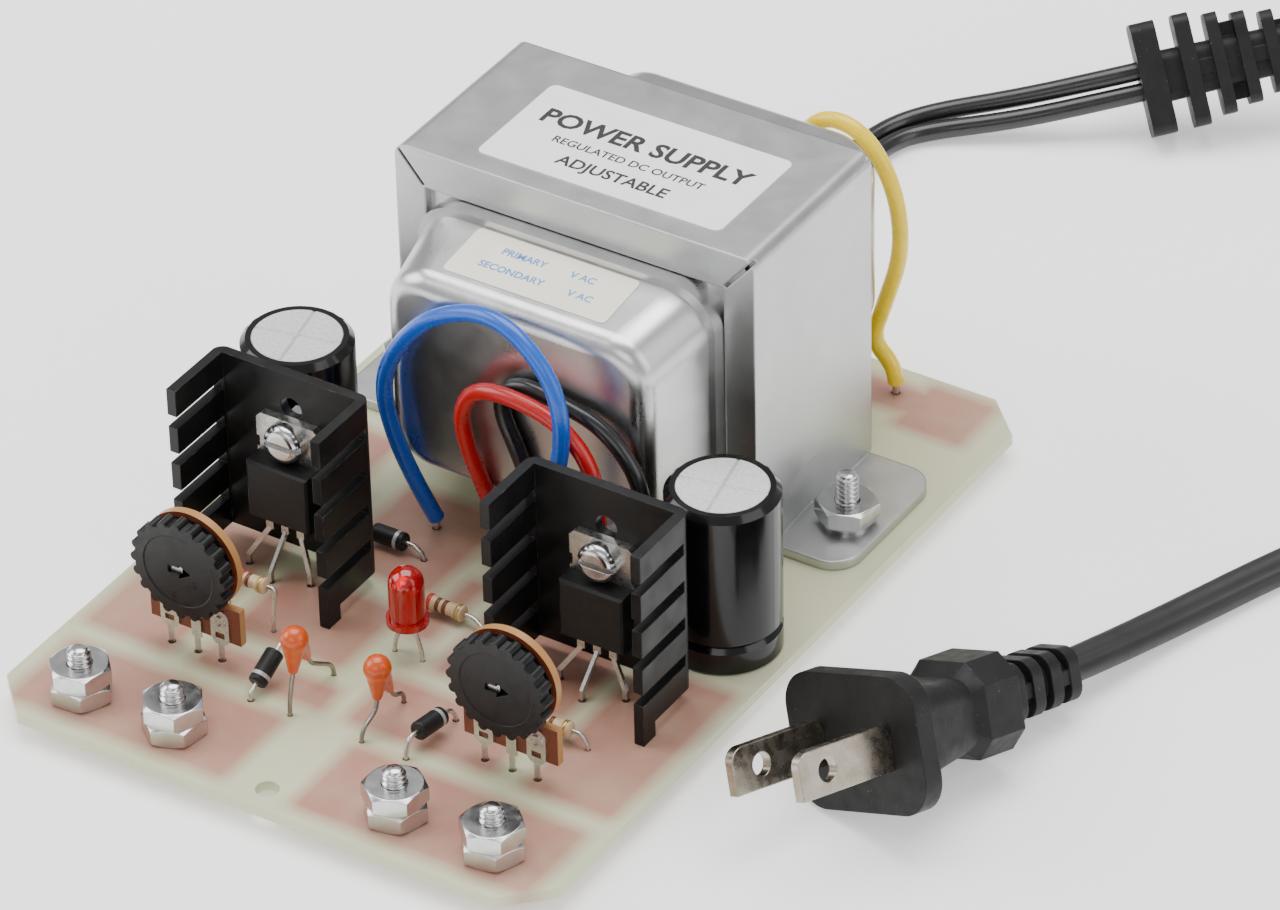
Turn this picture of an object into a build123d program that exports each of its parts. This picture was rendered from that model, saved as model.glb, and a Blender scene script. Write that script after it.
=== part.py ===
from build123d import *
import os
from math import atan2, cos, pi, radians, sin, tan

# Open-board linear power supply with two adjustable outputs. Millimetres, +Z up.
# X runs along the terminal edge, Y from the terminals (front) to the transformer
# (rear). The origin is under the board's centre, at the undersides of the screw heads.

# ---- Driving dimensions ------------------------------------------------------

board_width = 88.9
board_length = 130.175
board_thick = 1.57
corner_cut = 6.35
mount_hole_radius = 1.65
mount_hole_y = 61.2

screw_radius = 1.75
screw_head_radius = 3.45
screw_head_height = 2.4
screw_clearance = 1.9
nut_across_flats = 7.94
nut_height = 2.78
nut_bore_radius = 1.8
stud_stickout = 2.3
stud_tip_radius = 1.55

terminal_x = [-33.02, -17.78, 17.78, 33.02]
terminal_y = -57.2
lower_nut_turn = [4, 22, 12, 8]
upper_nut_turn = [14, 6, 24, 17]

channel_x = 25.4

heatsink_width = 25.0
heatsink_back_y = -15.6
heatsink_front_y = -28.1
heatsink_sheet = 1.5
heatsink_top = 35.0
heatsink_bottom = 6.4
finger_pitch = 6.1
finger_gap = 1.9
finger_gaps = 4
heatsink_foot = 2.9

tab_thick = 1.3
tab_top = 27.3
tab_hole_z = 24.2
package_width = 10.16
package_top = 21.0
package_bottom = 11.8
package_thick = 4.5
leg_pitch = 2.54
left_lift = 0.9

trimmer_face_y = -41.0
trimmer_axis_z = 19.2
trimmer_base_thick = 1.2
trimmer_base_radius = 7.5
trimmer_foot_width = 14.8
trimmer_foot_bottom = 7.3
trimmer_foot_top = 13.0
wheel_radius = 7.05
wheel_tooth_radius = 0.7
wheel_teeth = 20
wheel_front_y = -44.3
wheel_thick = 2.3
hub_radius = 2.5
hub_clearance = 0.05
terminal_leg_x = 4.15

capacitor_radius = 8.0
capacitor_top = 29.97
capacitor_places = [(-33.9, -2.7), (34.9, -2.7)]
capacitor_pitch = 7.5

led_y = -27.4
led_base = 9.8
led_top = 18.7

lead_diameter = 2.4
conductor_diameter = 2.9
cord_width = 5.8
cord_thick = 2.9

sheet_steel = 1.5
lip_thick = 1.2
frame_left = -27.35
frame_right = 30.25
frame_front = 13.3
frame_rear = 43.9
frame_top = 54.87
lip_height = 5.8
lip_side = 4.8
foot_front = 17.8
foot_rear = 43.2
foot_left_end = -42.0
foot_right_end = 41.5
frame_screw_x = 36.0
frame_screw_y = 27.7

core_bottom = 4.4
window_low = 14.2
window_high = 41.4
window_width = 9.0
centre_leg = 18.0
winding_front = 7.6

bell_sheet = 0.8
bell_face_y = -2.2
bell_front = 11.0
lead_exit_y = 8.2

board_bottom = screw_head_height
board_top = board_bottom + board_thick
frame_centre_x = (frame_left + frame_right) / 2
frame_centre_y = (frame_front + frame_rear) / 2
stud_top = board_top + 2 * nut_height + stud_stickout

# Solids stand on their place, and flat shapes rise from it.
standing = (Align.CENTER, Align.CENTER, Align.MIN)
upright = (Align.CENTER, Align.MIN)

os.makedirs("parts", exist_ok=True)


def keep(piece, name):
    """Label a finished piece and write it to its own file."""
    piece.part.label = name
    export_step(piece.part, f"parts/{name}.step")


def bend_radii(points):
    """At each inner point, the arc that takes 0.45 of the shorter of its two runs."""
    radii = []
    for before, here, after in zip(points, points[1:], points[2:]):
        run_in = Vector(here) - Vector(before)
        run_out = Vector(after) - Vector(here)
        half_turn = radians(run_in.get_angle(run_out) / 2)
        radii.append(0.45 * min(run_in.length, run_out.length) / tan(half_turn))
    return radii


def round_wire(points, diameter):
    """A round wire along straight runs joined by tangent arcs."""
    with BuildPart() as piece:
        with BuildLine():
            path = FilletPolyline(*points, radius=bend_radii(points))
        with BuildSketch(Plane(origin=path @ 0, z_dir=path % 0)):
            Circle(diameter / 2)
        sweep(path=path)
    return piece.part


def reported_tube(name, tube, section, points):
    """Print how a tube compares with its path, and the radii of its bends."""
    path = FilletPolyline(*points, radius=bend_radii(points))
    share = tube.volume / (section * path.length)
    bends = [round(radius, 1) for radius in bend_radii(points)]
    print(name, f"length {path.length:.1f} volume share {share:.3f} bend radii", bends)


def straight_rod(start, end, radius):
    """A plain round bar between two points."""
    along = Vector(end) - Vector(start)
    with BuildPart() as rod:
        with BuildSketch(Plane(origin=start, z_dir=along)):
            Circle(radius)
        extrude(amount=along.length)
    return rod.part


# ---- Where each leg goes through the board: x and y ----------------------------

blue_foot = (-13.05, -1.0)
red_foot = (-1.2, -1.0)
black_foot = (6.4, -1.0)
yellow_foot = (25.05, 59.4)
far_yellow_foot = (0.5, 59.4)
live_foot = (-14.9, 59.4)
neutral_foot = (-9.9, 59.4)
core_feet = [blue_foot, red_foot, black_foot, yellow_foot, far_yellow_foot, live_foot, neutral_foot]

left_tantalum_feet = [(-6.45, -46.5), (-6.45, -36.1)]
right_tantalum_feet = [(5.05, -46.4), (5.05, -36.3)]
left_diode_feet = [(-12.85, -46.5), (-12.85, -36.1)]
right_diode_feet = [(12.15, -46.4), (13.2, -36.0)]
rectifier_rows = [(-10.35, -8.2), (-16.5, -12.4), (12.6, -12.9), (11.5, -8.9)]
rectifier_reach = 11.2
resistor_feet = [
    [(-26.1, -32.3), (-18.95, -32.2)],
    [(21.0, -32.4), (31.85, -32.4)],
    [(-6.5, -17.6), (7.0, -18.6)],
]
led_feet = [(-2.35, led_y), (2.15, led_y)]
left_regulator_feet = [(-30.7, -21.0), (-25.6, -23.1), (-20.5, -21.0)]
right_regulator_feet = [(20.2, -21.2), (25.4, -23.7), (30.4, -20.7)]
trimmer_leg_y = trimmer_face_y - 0.15

thin_leg = 0.32
diode_leg = 0.42
can_leg = 0.4
flat_leg = 0.5
core_leg = 0.6
leg_play = 0.08

leg_holes = [(x, y, core_leg) for x, y in core_feet]
leg_holes += [(x, y, thin_leg) for x, y in left_tantalum_feet + right_tantalum_feet + led_feet]
leg_holes += [(x, y, thin_leg) for pair in resistor_feet for x, y in pair]
leg_holes += [(x, y, diode_leg) for x, y in left_diode_feet + right_diode_feet]
for inner_x, y in rectifier_rows:
    outer_x = inner_x - rectifier_reach if inner_x < 0 else inner_x + rectifier_reach
    leg_holes += [(inner_x, y, diode_leg), (outer_x, y, diode_leg)]
for x, y in capacitor_places:
    leg_holes += [(x - capacitor_pitch / 2, y, can_leg), (x + capacitor_pitch / 2, y, can_leg)]
leg_holes += [(x, y, flat_leg) for x, y in left_regulator_feet + right_regulator_feet]
for side in (-1, 1):
    for x in (-terminal_leg_x, 0.2, terminal_leg_x):
        leg_holes += [(side * channel_x + x, trimmer_leg_y, flat_leg)]

# ---- Board, its fasteners and its solder ---------------------------------------

solder_height = 1.3
solder_spread = 0.65

with BuildPart() as circuit_board:
    with BuildSketch(Plane.XY.offset(board_bottom)) as outline:
        Rectangle(board_width, board_length)
        chamfer(outline.vertices(), corner_cut)
        with Locations((0, -mount_hole_y)):
            Circle(mount_hole_radius, mode=Mode.SUBTRACT)
        with Locations(*[(x, terminal_y) for x in terminal_x]):
            Circle(screw_clearance, mode=Mode.SUBTRACT)
        with Locations((-frame_screw_x, frame_screw_y), (frame_screw_x, frame_screw_y)):
            Circle(screw_clearance, mode=Mode.SUBTRACT)
        for x, y, radius in leg_holes:
            with Locations((x, y)):
                Circle(radius + leg_play, mode=Mode.SUBTRACT)
    extrude(amount=board_thick)
keep(circuit_board, "circuit_board")

with BuildPart() as solder_joints:
    for x, y, radius in leg_holes:
        with BuildSketch(Plane(origin=(x, y, board_bottom), z_dir=(0, 0, -1))):
            Circle(radius + solder_spread)
        extrude(amount=solder_height, taper=24)
keep(solder_joints, "solder_joints")


def machine_screws(places, shank_top, top):
    """Slotted pan-head screws that stand up through the board, heads underneath."""
    with BuildPart() as screws:
        with Locations(*[(x, y, 0) for x, y in places]):
            Cylinder(screw_head_radius, screw_head_height, align=standing)
        fillet(screws.edges().group_by(Axis.Z)[0], 0.9)
        with Locations(*[(x, y, 0) for x, y in places]):
            Cylinder(screw_radius, shank_top, align=standing)
            Cylinder(stud_tip_radius, top, align=standing)
            Box(7.2, 1.0, 0.9, align=standing, mode=Mode.SUBTRACT)
        chamfer(screws.edges().group_by(Axis.Z)[-1], 0.4)
    return screws


def hex_nut(x, y, base, turn):
    """A machine-screw nut with both faces chamfered, standing at the height base."""
    corner_radius = nut_across_flats / 2 / cos(pi / 6) + 0.05
    with BuildPart() as nut:
        with BuildSketch():
            RegularPolygon(nut_across_flats / 2, 6, major_radius=False, rotation=turn)
            Circle(nut_bore_radius, mode=Mode.SUBTRACT)
        extrude(amount=nut_height)
        with BuildSketch(Plane.XZ):
            with BuildLine():
                Polyline(
                    (0, 0),
                    (corner_radius - 0.8, 0),
                    (corner_radius, 0.45),
                    (corner_radius, nut_height - 0.45),
                    (corner_radius - 0.8, nut_height),
                    (0, nut_height),
                    close=True,
                )
            make_face()
        revolve(axis=Axis.Z, mode=Mode.INTERSECT)
    return nut.part.moved(Location((x, y, base)))


terminal_shank_top = board_top + 2 * nut_height + 0.15
terminal_screws = machine_screws([(x, terminal_y) for x in terminal_x], terminal_shank_top, stud_top)
keep(terminal_screws, "terminal_screws")

with BuildPart() as terminal_lower_nuts:
    for x, turn in zip(terminal_x, lower_nut_turn):
        add(hex_nut(x, terminal_y, board_top, turn))
keep(terminal_lower_nuts, "terminal_lower_nuts")

for number, (x, turn) in enumerate(zip(terminal_x, upper_nut_turn), start=1):
    with BuildPart() as terminal_nut:
        add(hex_nut(x, terminal_y, board_top + nut_height, turn))
    keep(terminal_nut, f"terminal_nut_{number}")

# ---- Transformer: steel frame, core and coils -----------------------------------

frame_width = frame_right - frame_left
frame_depth = frame_rear - frame_front
frame_height = frame_top - board_top
mitre_gap = 0.5
corner_rounding = 1.8
foot_corner = 4.5
dent_radius = 50.5
dent_depth = 0.8

with BuildPart() as transformer_frame:
    with BuildSketch(Plane.XZ.offset(-frame_front)) as channel:
        with Locations((frame_centre_x, board_top)):
            Rectangle(frame_width, frame_height, align=upright)
        fillet(channel.vertices().group_by(Axis.Z)[-1], corner_rounding)
        with Locations((frame_centre_x, board_top)):
            Rectangle(
                frame_width - 2 * sheet_steel,
                frame_height - sheet_steel,
                align=upright,
                mode=Mode.SUBTRACT,
            )
    extrude(amount=-frame_depth)
    for lip_y in (frame_front, frame_rear - lip_thick):
        with BuildSketch(Plane.XZ.offset(-lip_y)):
            with Locations((frame_centre_x, board_top)):
                Rectangle(frame_width - 1, frame_height - 0.5, align=upright)
                Rectangle(
                    frame_width - 2 * lip_side,
                    frame_height - lip_height,
                    align=upright,
                    mode=Mode.SUBTRACT,
                )
        extrude(amount=-lip_thick)
        for side in (-1, 1):
            corner_x = frame_centre_x + side * (frame_width - lip_side) / 2
            mitre_place = (corner_x, lip_y + lip_thick / 2, frame_top - lip_height / 2)
            with Locations(Location(mitre_place, (0, side * 40, 0))):
                Box(mitre_gap, lip_thick + 0.1, lip_height + 1, mode=Mode.SUBTRACT)
    for wall_x, side in ((frame_left, -1), (frame_right, 1)):
        with Locations((wall_x + side * (dent_radius - dent_depth), frame_screw_y - 0.7, board_top + 1.0)):
            Sphere(dent_radius, mode=Mode.SUBTRACT)
    for wall_x, end_x, side in ((frame_left, foot_left_end, -1), (frame_right, foot_right_end, 1)):
        foot_inner_x = wall_x - side * sheet_steel
        with BuildSketch(Plane.XY.offset(board_top)) as foot:
            with Locations(((foot_inner_x + end_x) / 2, (foot_front + foot_rear) / 2)):
                Rectangle(abs(end_x - foot_inner_x), foot_rear - foot_front)
            fillet(foot.vertices().group_by(Axis.X)[0 if side < 0 else -1], foot_corner)
            with Locations((side * (frame_screw_x + 0.6), frame_screw_y)):
                SlotOverall(5.2, 2 * screw_clearance, mode=Mode.SUBTRACT)
        extrude(amount=sheet_steel)
keep(transformer_frame, "transformer_frame")

inside_gap = 0.05
core_left = frame_left + sheet_steel + inside_gap
core_right = frame_right - sheet_steel - inside_gap
core_top = frame_top - sheet_steel - inside_gap
core_front = frame_front + lip_thick + bell_sheet
core_rear = frame_rear - lip_thick - bell_sheet
window_shift = (centre_leg + window_width) / 2
window_middle = (window_low + window_high) / 2

with BuildPart() as transformer_core:
    with BuildSketch(Plane.XZ.offset(-core_front)):
        with Locations(((core_left + core_right) / 2, (core_bottom + core_top) / 2)):
            Rectangle(core_right - core_left, core_top - core_bottom)
        left_window = (frame_centre_x - window_shift, window_middle)
        right_window = (frame_centre_x + window_shift, window_middle)
        with Locations(left_window, right_window):
            Rectangle(window_width, window_high - window_low, mode=Mode.SUBTRACT)
    extrude(amount=-(core_rear - core_front))
keep(transformer_core, "transformer_core")

flange_thick = 1.0
coil_play = 0.2
coil_width = centre_leg + 2 * window_width - 2 * coil_play
bobbin_low = window_low + coil_play
bobbin_high = window_high - coil_play
bobbin_split = (bobbin_low + bobbin_high) / 2
winding_depth = 2 * (frame_centre_y - winding_front)
tube_wall = 0.9


def flat_ring(width, depth, hole_width, hole_depth, low, high):
    """A rounded rectangular ring about the core's centre leg."""
    with BuildPart() as ring:
        with BuildSketch(Plane.XY.offset(low)):
            with Locations((frame_centre_x, frame_centre_y)):
                RectangleRounded(width, depth, 2.5)
                Rectangle(hole_width, hole_depth, mode=Mode.SUBTRACT)
        extrude(amount=high - low)
    return ring.part


leg_depth = core_rear - core_front
tube_hole_width = centre_leg + 2 * coil_play
tube_hole_depth = leg_depth + 2 * coil_play
tube_width = tube_hole_width + 2 * tube_wall
tube_depth = tube_hole_depth + 2 * tube_wall

with BuildPart() as bobbin:
    add(flat_ring(tube_width, tube_depth, tube_hole_width, tube_hole_depth, bobbin_low, bobbin_high))
    for low in (bobbin_low, bobbin_split - flange_thick / 2, bobbin_high - flange_thick):
        add(flat_ring(coil_width, winding_depth, tube_hole_width, tube_hole_depth, low, low + flange_thick))
keep(bobbin, "bobbin")

winding_width = coil_width - 1.2
winding_reach = winding_depth - 1.2
with BuildPart() as secondary_winding:
    low = bobbin_low + flange_thick
    high = bobbin_split - flange_thick / 2
    add(flat_ring(winding_width, winding_reach, tube_width, tube_depth, low, high))
keep(secondary_winding, "secondary_winding")

with BuildPart() as primary_winding:
    low = bobbin_split + flange_thick / 2
    add(flat_ring(winding_width, winding_reach, tube_width, tube_depth, low, bobbin_high - flange_thick))
keep(primary_winding, "primary_winding")

# ---- Transformer: drawn end bells, labels and lead bushings ------------------------

bell_flange = (-25.6, 28.5, 6.0, 53.2)
bell_skirt = (-22.45, 25.35, 10.0, 48.9)
bell_base = (-22.0, 24.4, 12.0, 47.6)
bell_nose = (-19.3, 22.5, 14.5, 46.0)
bell_corner = 6.5
bell_edge = 3.0
exit_slot_width = 13.0
exit_slot_depth = 4.2
front_exit_x = 17.0
rear_exit_x = 6.0
skirt_y = frame_front + lip_thick


def bell_section(y, sides, inset, corner):
    """A rounded rectangle across the bell at the given y; sides are left, right, low, high."""
    left, right, low, high = sides
    with BuildSketch(Plane.XZ.offset(-y)) as section:
        with Locations(((left + right) / 2, (low + high) / 2)):
            RectangleRounded(right - left - 2 * inset, high - low - 2 * inset, corner - inset)
    return section.sketch


def end_bell(exit_x):
    """The front bell: flange, skirt and tapered dome, with a slot for the leads underneath."""
    flange = bell_section(skirt_y, bell_flange, 0, 2.0)
    skirt = bell_section(skirt_y, bell_skirt, 0, bell_corner)
    dome = [
        bell_section(bell_front, bell_base, 0, bell_corner),
        bell_section(bell_face_y, bell_nose, 0, bell_corner),
    ]
    skirt_inside = bell_section(skirt_y + bell_sheet, bell_skirt, bell_sheet, bell_corner)
    dome_inside = [
        bell_section(bell_front + bell_sheet + 0.1, bell_base, bell_sheet, bell_corner),
        bell_section(bell_face_y + bell_sheet, bell_nose, bell_sheet, bell_corner),
    ]
    with BuildPart() as bell:
        extrude(flange, amount=-bell_sheet)
        extrude(skirt, amount=skirt_y - bell_front)
        loft(dome)
        fillet(bell.faces().sort_by(Axis.Y)[0].edges(), bell_edge)
        extrude(skirt_inside, amount=skirt_y - bell_front, mode=Mode.SUBTRACT)
        loft(dome_inside, mode=Mode.SUBTRACT)
        with Locations((exit_x, lead_exit_y, bell_base[2])):
            Box(exit_slot_width, exit_slot_depth, 6, mode=Mode.SUBTRACT)
    return bell.part


with BuildPart() as front_bell:
    add(end_bell(front_exit_x))
keep(front_bell, "front_bell")

with BuildPart() as rear_bell:
    add(end_bell(rear_exit_x))
    mirror(about=Plane.XZ.offset(-frame_centre_y), mode=Mode.REPLACE)
keep(rear_bell, "rear_bell")

label_thick = 0.15
bell_slope = atan2(bell_base[3] - bell_nose[3], bell_front - bell_face_y)
label_y = 5.9
label_z = bell_nose[3] + (label_y - bell_face_y) * tan(bell_slope)
bell_top = Plane(
    origin=(1.1, label_y, label_z),
    x_dir=(1, 0, 0),
    z_dir=(0, -sin(bell_slope), cos(bell_slope)),
)

with BuildPart() as rating_label:
    with BuildSketch(bell_top):
        RectangleRounded(26.0, 9.6, 0.8)
    extrude(amount=label_thick)
keep(rating_label, "rating_label")

with BuildPart() as name_label:
    with BuildSketch(Plane.XY.offset(frame_top)):
        with Locations((3.0, 26.8)):
            RectangleRounded(39.0, 19.6, 1.2)
    extrude(amount=label_thick)
keep(name_label, "name_label")

bushing_low = bell_base[2] - 0.4
bushing_high = bobbin_low - 0.1
lead_play = 0.05
front_lead_x = [13.1, 16.9, 20.6]
rear_lead_x = [10.0, 2.0]
rear_exit_y = 2 * frame_centre_y - lead_exit_y

with BuildPart() as lead_bushings:
    for exit_x, exit_y, lead_places in (
        (front_exit_x, lead_exit_y, front_lead_x),
        (rear_exit_x, rear_exit_y, rear_lead_x),
    ):
        with BuildSketch(Plane.XY.offset(bushing_low)):
            with Locations((exit_x, exit_y)):
                Rectangle(exit_slot_width - 0.2, exit_slot_depth - 0.2)
            for x in lead_places:
                with Locations((x, exit_y)):
                    Circle(lead_diameter / 2 + lead_play, mode=Mode.SUBTRACT)
        extrude(amount=bushing_high - bushing_low)
keep(lead_bushings, "lead_bushings")

# ---- Transformer: mounting screws ---------------------------------------------------

washer_thick = 0.9
frame_screw_top = 13.5
frame_nut_turn = [10, 25]
frame_screw_places = [(-frame_screw_x, frame_screw_y), (frame_screw_x, frame_screw_y)]

frame_nut_top = board_top + sheet_steel + washer_thick + nut_height
transformer_screws = machine_screws(frame_screw_places, frame_nut_top, frame_screw_top)
keep(transformer_screws, "transformer_screws")

with BuildPart() as transformer_lock_washers:
    with BuildSketch(Plane.XY.offset(board_top + sheet_steel)):
        with Locations(*frame_screw_places):
            Circle(3.35)
            Circle(nut_bore_radius, mode=Mode.SUBTRACT)
        left_end = (-frame_screw_x + 2.6, frame_screw_y + 0.6)
        right_end = (frame_screw_x - 2.6, frame_screw_y - 0.6)
        with Locations(left_end, right_end):
            Rectangle(2.4, 0.5, mode=Mode.SUBTRACT)
    extrude(amount=washer_thick)
keep(transformer_lock_washers, "transformer_lock_washers")

with BuildPart() as transformer_nuts:
    for (x, y), turn in zip(frame_screw_places, frame_nut_turn):
        add(hex_nut(x, y, board_top + sheet_steel + washer_thick, turn))
keep(transformer_nuts, "transformer_nuts")

# ---- Transformer leads ----------------------------------------------------------------

lead_end_z = bobbin_low - 0.02
strip_z = board_top + 1.8
conductor_radius = 0.55

blue_route = [
    (-13.05, -1.0, strip_z),
    (-14.2, -2.9, 11.0),
    (-17.3, -4.2, 20.0),
    (-19.0, -4.4, 28.5),
    (-15.2, -4.9, 37.0),
    (-8.6, -5.4, 44.2),
    (1.6, -6.4, 48.4),
    (10.8, -8.2, 43.9),
    (14.2, -9.2, 36.0),
    (12.7, -9.7, 26.0),
    (12.3, -9.7, 16.5),
    (12.8, -6.6, 7.8),
    (13.1, 2.0, 5.9),
    (13.1, 8.2, 8.6),
    (13.1, 8.2, lead_end_z),
]
red_route = [
    (-1.2, -1.0, strip_z),
    (-2.2, -1.9, 9.5),
    (-3.1, -3.4, 16.0),
    (-4.9, -4.7, 23.2),
    (-5.5, -5.1, 29.2),
    (-2.1, -6.2, 34.7),
    (4.7, -6.6, 35.6),
    (11.9, -6.7, 34.0),
    (17.3, -7.3, 29.0),
    (18.8, -8.3, 21.0),
    (17.9, -8.4, 13.0),
    (17.2, -4.4, 7.4),
    (16.9, 2.0, 6.3),
    (16.9, 8.2, 8.6),
    (16.9, 8.2, lead_end_z),
]
black_route = [
    (6.4, -1.0, strip_z),
    (5.6, -2.4, 13.0),
    (3.6, -3.8, 23.0),
    (-0.5, -3.6, 31.6),
    (2.7, -3.5, 35.9),
    (9.9, -3.7, 35.1),
    (17.3, -4.0, 33.6),
    (23.4, -4.7, 27.4),
    (24.7, -6.2, 19.2),
    (23.4, -6.9, 12.0),
    (21.3, -4.0, 7.1),
    (20.6, 2.0, 6.1),
    (20.6, 8.2, 8.6),
    (20.6, 8.2, lead_end_z),
]
yellow_route = [
    (10.0, rear_exit_y, lead_end_z),
    (10.0, rear_exit_y + 0.1, 8.0),
    (9.6, 56.5, 6.0),
    (8.4, 61.6, 9.6),
    (6.7, 62.4, 18.6),
    (5.9, 62.2, 28.6),
    (6.9, 61.8, 38.5),
    (11.9, 61.4, 45.6),
    (18.9, 61.2, 45.0),
    (24.0, 61.0, 37.4),
    (25.4, 60.7, 27.6),
    (22.6, 60.3, 17.6),
    (20.7, 60.0, 11.3),
    (24.9, 59.4, 8.4),
    (25.05, 59.4, strip_z),
]
far_yellow_route = [
    (2.0, rear_exit_y, lead_end_z),
    (2.0, rear_exit_y + 0.1, 8.0),
    (-0.4, 56.4, 6.2),
    (-4.9, 61.2, 8.6),
    (-7.4, 62.2, 15.6),
    (-5.9, 62.0, 23.4),
    (-1.4, 61.7, 26.4),
    (1.6, 61.2, 21.4),
    (1.3, 60.3, 13.0),
    (0.5, 59.4, strip_z),
]
for name, route in (
    ("blue_lead", blue_route),
    ("red_lead", red_route),
    ("black_lead", black_route),
    ("yellow_lead", yellow_route),
    ("far_yellow_lead", far_yellow_route),
):
    with BuildPart() as lead:
        add(round_wire(route, lead_diameter))
    reported_tube(name, lead.part, pi * lead_diameter**2 / 4, route)
    keep(lead, name)

with BuildPart() as lead_ends:
    for x, y in core_feet:
        with Locations((x, y, board_bottom)):
            Cylinder(conductor_radius, strip_z - board_bottom - 0.3, align=standing)
keep(lead_ends, "lead_ends")

# ---- Heatsinks and regulators -----------------------------------------------------------

plate_inner_y = heatsink_back_y - heatsink_sheet
bend_radius = 1.6
finger_root = 1.8
sink_hole_radius = 1.7
spare_hole_rise = 4.5
sink_nut_half = 2.5
sink_nut_height = 2.2
left_screw_x = -channel_x + 0.4
right_screw_x = channel_x + 0.2


def heatsink(middle_x, screw_x, screw_z):
    """A folded channel whose side walls are cut into fingers, on two small feet."""
    half = heatsink_width / 2
    depth = heatsink_back_y - heatsink_front_y
    with BuildPart() as sink:
        with BuildSketch(Plane.XY.offset(heatsink_bottom)) as channel:
            with Locations((middle_x, (heatsink_back_y + heatsink_front_y) / 2)):
                Rectangle(heatsink_width, depth)
            fillet(channel.vertices().group_by(Axis.Y)[-1], bend_radius)
            with Locations((middle_x, (plate_inner_y + heatsink_front_y) / 2)):
                Rectangle(heatsink_width - 2 * heatsink_sheet, depth - heatsink_sheet, mode=Mode.SUBTRACT)
        extrude(amount=heatsink_top - heatsink_bottom)
        for gap in range(finger_gaps):
            gap_top = heatsink_top - (finger_pitch - finger_gap) - gap * finger_pitch
            with Locations((middle_x, heatsink_front_y, gap_top - finger_gap / 2)):
                Box(heatsink_width + 1, 2 * (depth - finger_root), finger_gap, mode=Mode.SUBTRACT)
        for side in (-1, 1):
            foot_x = middle_x + side * (half - heatsink_sheet / 2)
            foot_place = (foot_x, heatsink_front_y + heatsink_foot / 2, (board_top + heatsink_bottom) / 2)
            with Locations(foot_place):
                Box(heatsink_sheet, heatsink_foot, heatsink_bottom - board_top, mode=Mode.ADD)
        for hole_z in (screw_z, screw_z + spare_hole_rise):
            with Locations(Location((screw_x, plate_inner_y, hole_z), (90, 0, 0))):
                Cylinder(sink_hole_radius, 5, mode=Mode.SUBTRACT)
    return sink


for name, middle_x, screw_x, lift in (
    ("heatsink_left", -channel_x + 0.25, left_screw_x, left_lift),
    ("heatsink_right", channel_x + 0.05, right_screw_x, 0),
):
    sink = heatsink(middle_x, screw_x, tab_hole_z + lift)
    keep(sink, name)

tab_front_y = plate_inner_y - tab_thick
package_front_y = plate_inner_y - package_thick
sink_screw_radius = 1.5
pan_radius = 3.0
pan_height = 2.1
driver_slot_depth = 1.0
driver_slot_width = 0.9
leg_exit_y = tab_front_y - 1.5
regulators = [
    (left_screw_x, left_lift, left_regulator_feet),
    (right_screw_x, 0, right_regulator_feet),
]

with BuildPart() as regulator_tabs:
    for x, lift, feet in regulators:
        with BuildSketch(Plane.XZ.offset(-plate_inner_y)) as tab:
            with Locations((x, package_bottom + lift + 0.6)):
                Rectangle(package_width, tab_top - package_bottom - 0.6, align=upright)
            chamfer(tab.vertices().group_by(Axis.Z)[-1], 0.8)
            for edge in (-1, 1):
                with Locations((x + edge * package_width / 2, package_top + lift + 1.5)):
                    Rectangle(0.9, 1.8, mode=Mode.SUBTRACT)
            with Locations((x, tab_hole_z + lift)):
                Circle(1.8, mode=Mode.SUBTRACT)
        extrude(amount=tab_thick)
keep(regulator_tabs, "regulator_tabs")

with BuildPart() as regulator_bodies:
    for x, lift, feet in regulators:
        with BuildSketch(Plane.XZ.offset(-tab_front_y)):
            with Locations((x, package_bottom + lift)):
                Rectangle(package_width - 0.1, package_top - package_bottom, align=upright)
        extrude(amount=package_thick - tab_thick)
    chamfer(regulator_bodies.faces().group_by(Axis.Y)[0].edges(), 0.35)
keep(regulator_bodies, "regulator_bodies")

with BuildPart() as regulator_leads:
    for x, lift, feet in regulators:
        for place, (foot_x, foot_y) in enumerate(feet):
            start_x = x + (place - 1) * leg_pitch
            top = package_bottom + lift
            knee = top - 2.2
            with BuildSketch(Plane.XY.offset(knee)):
                with Locations((start_x, leg_exit_y)):
                    Rectangle(1.2, 0.5)
            extrude(amount=top - knee)
            with BuildLine() as way:
                Polyline(
                    (start_x, leg_exit_y, knee + 0.2),
                    (foot_x, foot_y, board_top + 1.6),
                    (foot_x, foot_y, board_bottom),
                )
            with BuildSketch(Plane(origin=way.line @ 0, z_dir=way.line % 0)):
                Rectangle(0.7, 0.5)
            sweep(path=way.line, transition=Transition.RIGHT)
keep(regulator_leads, "regulator_leads")

with BuildPart() as regulator_screws:
    for x, lift, feet in regulators:
        front = Plane(origin=(x, tab_front_y, tab_hole_z + lift), x_dir=(1, 0, 0), z_dir=(0, -1, 0))
        with BuildSketch(front):
            Circle(pan_radius)
        extrude(amount=pan_height)
        with BuildSketch(front):
            Circle(sink_screw_radius)
        extrude(amount=-(tab_thick + heatsink_sheet + 5.0))
    fillet(regulator_screws.faces().group_by(Axis.Y)[0].edges(), 1.2)
    for x, lift, feet in regulators:
        with Locations((x, tab_front_y - pan_height, tab_hole_z + lift)):
            Box(2 * pan_radius + 1, 2 * driver_slot_depth, driver_slot_width, mode=Mode.SUBTRACT)
keep(regulator_screws, "regulator_screws")

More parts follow.
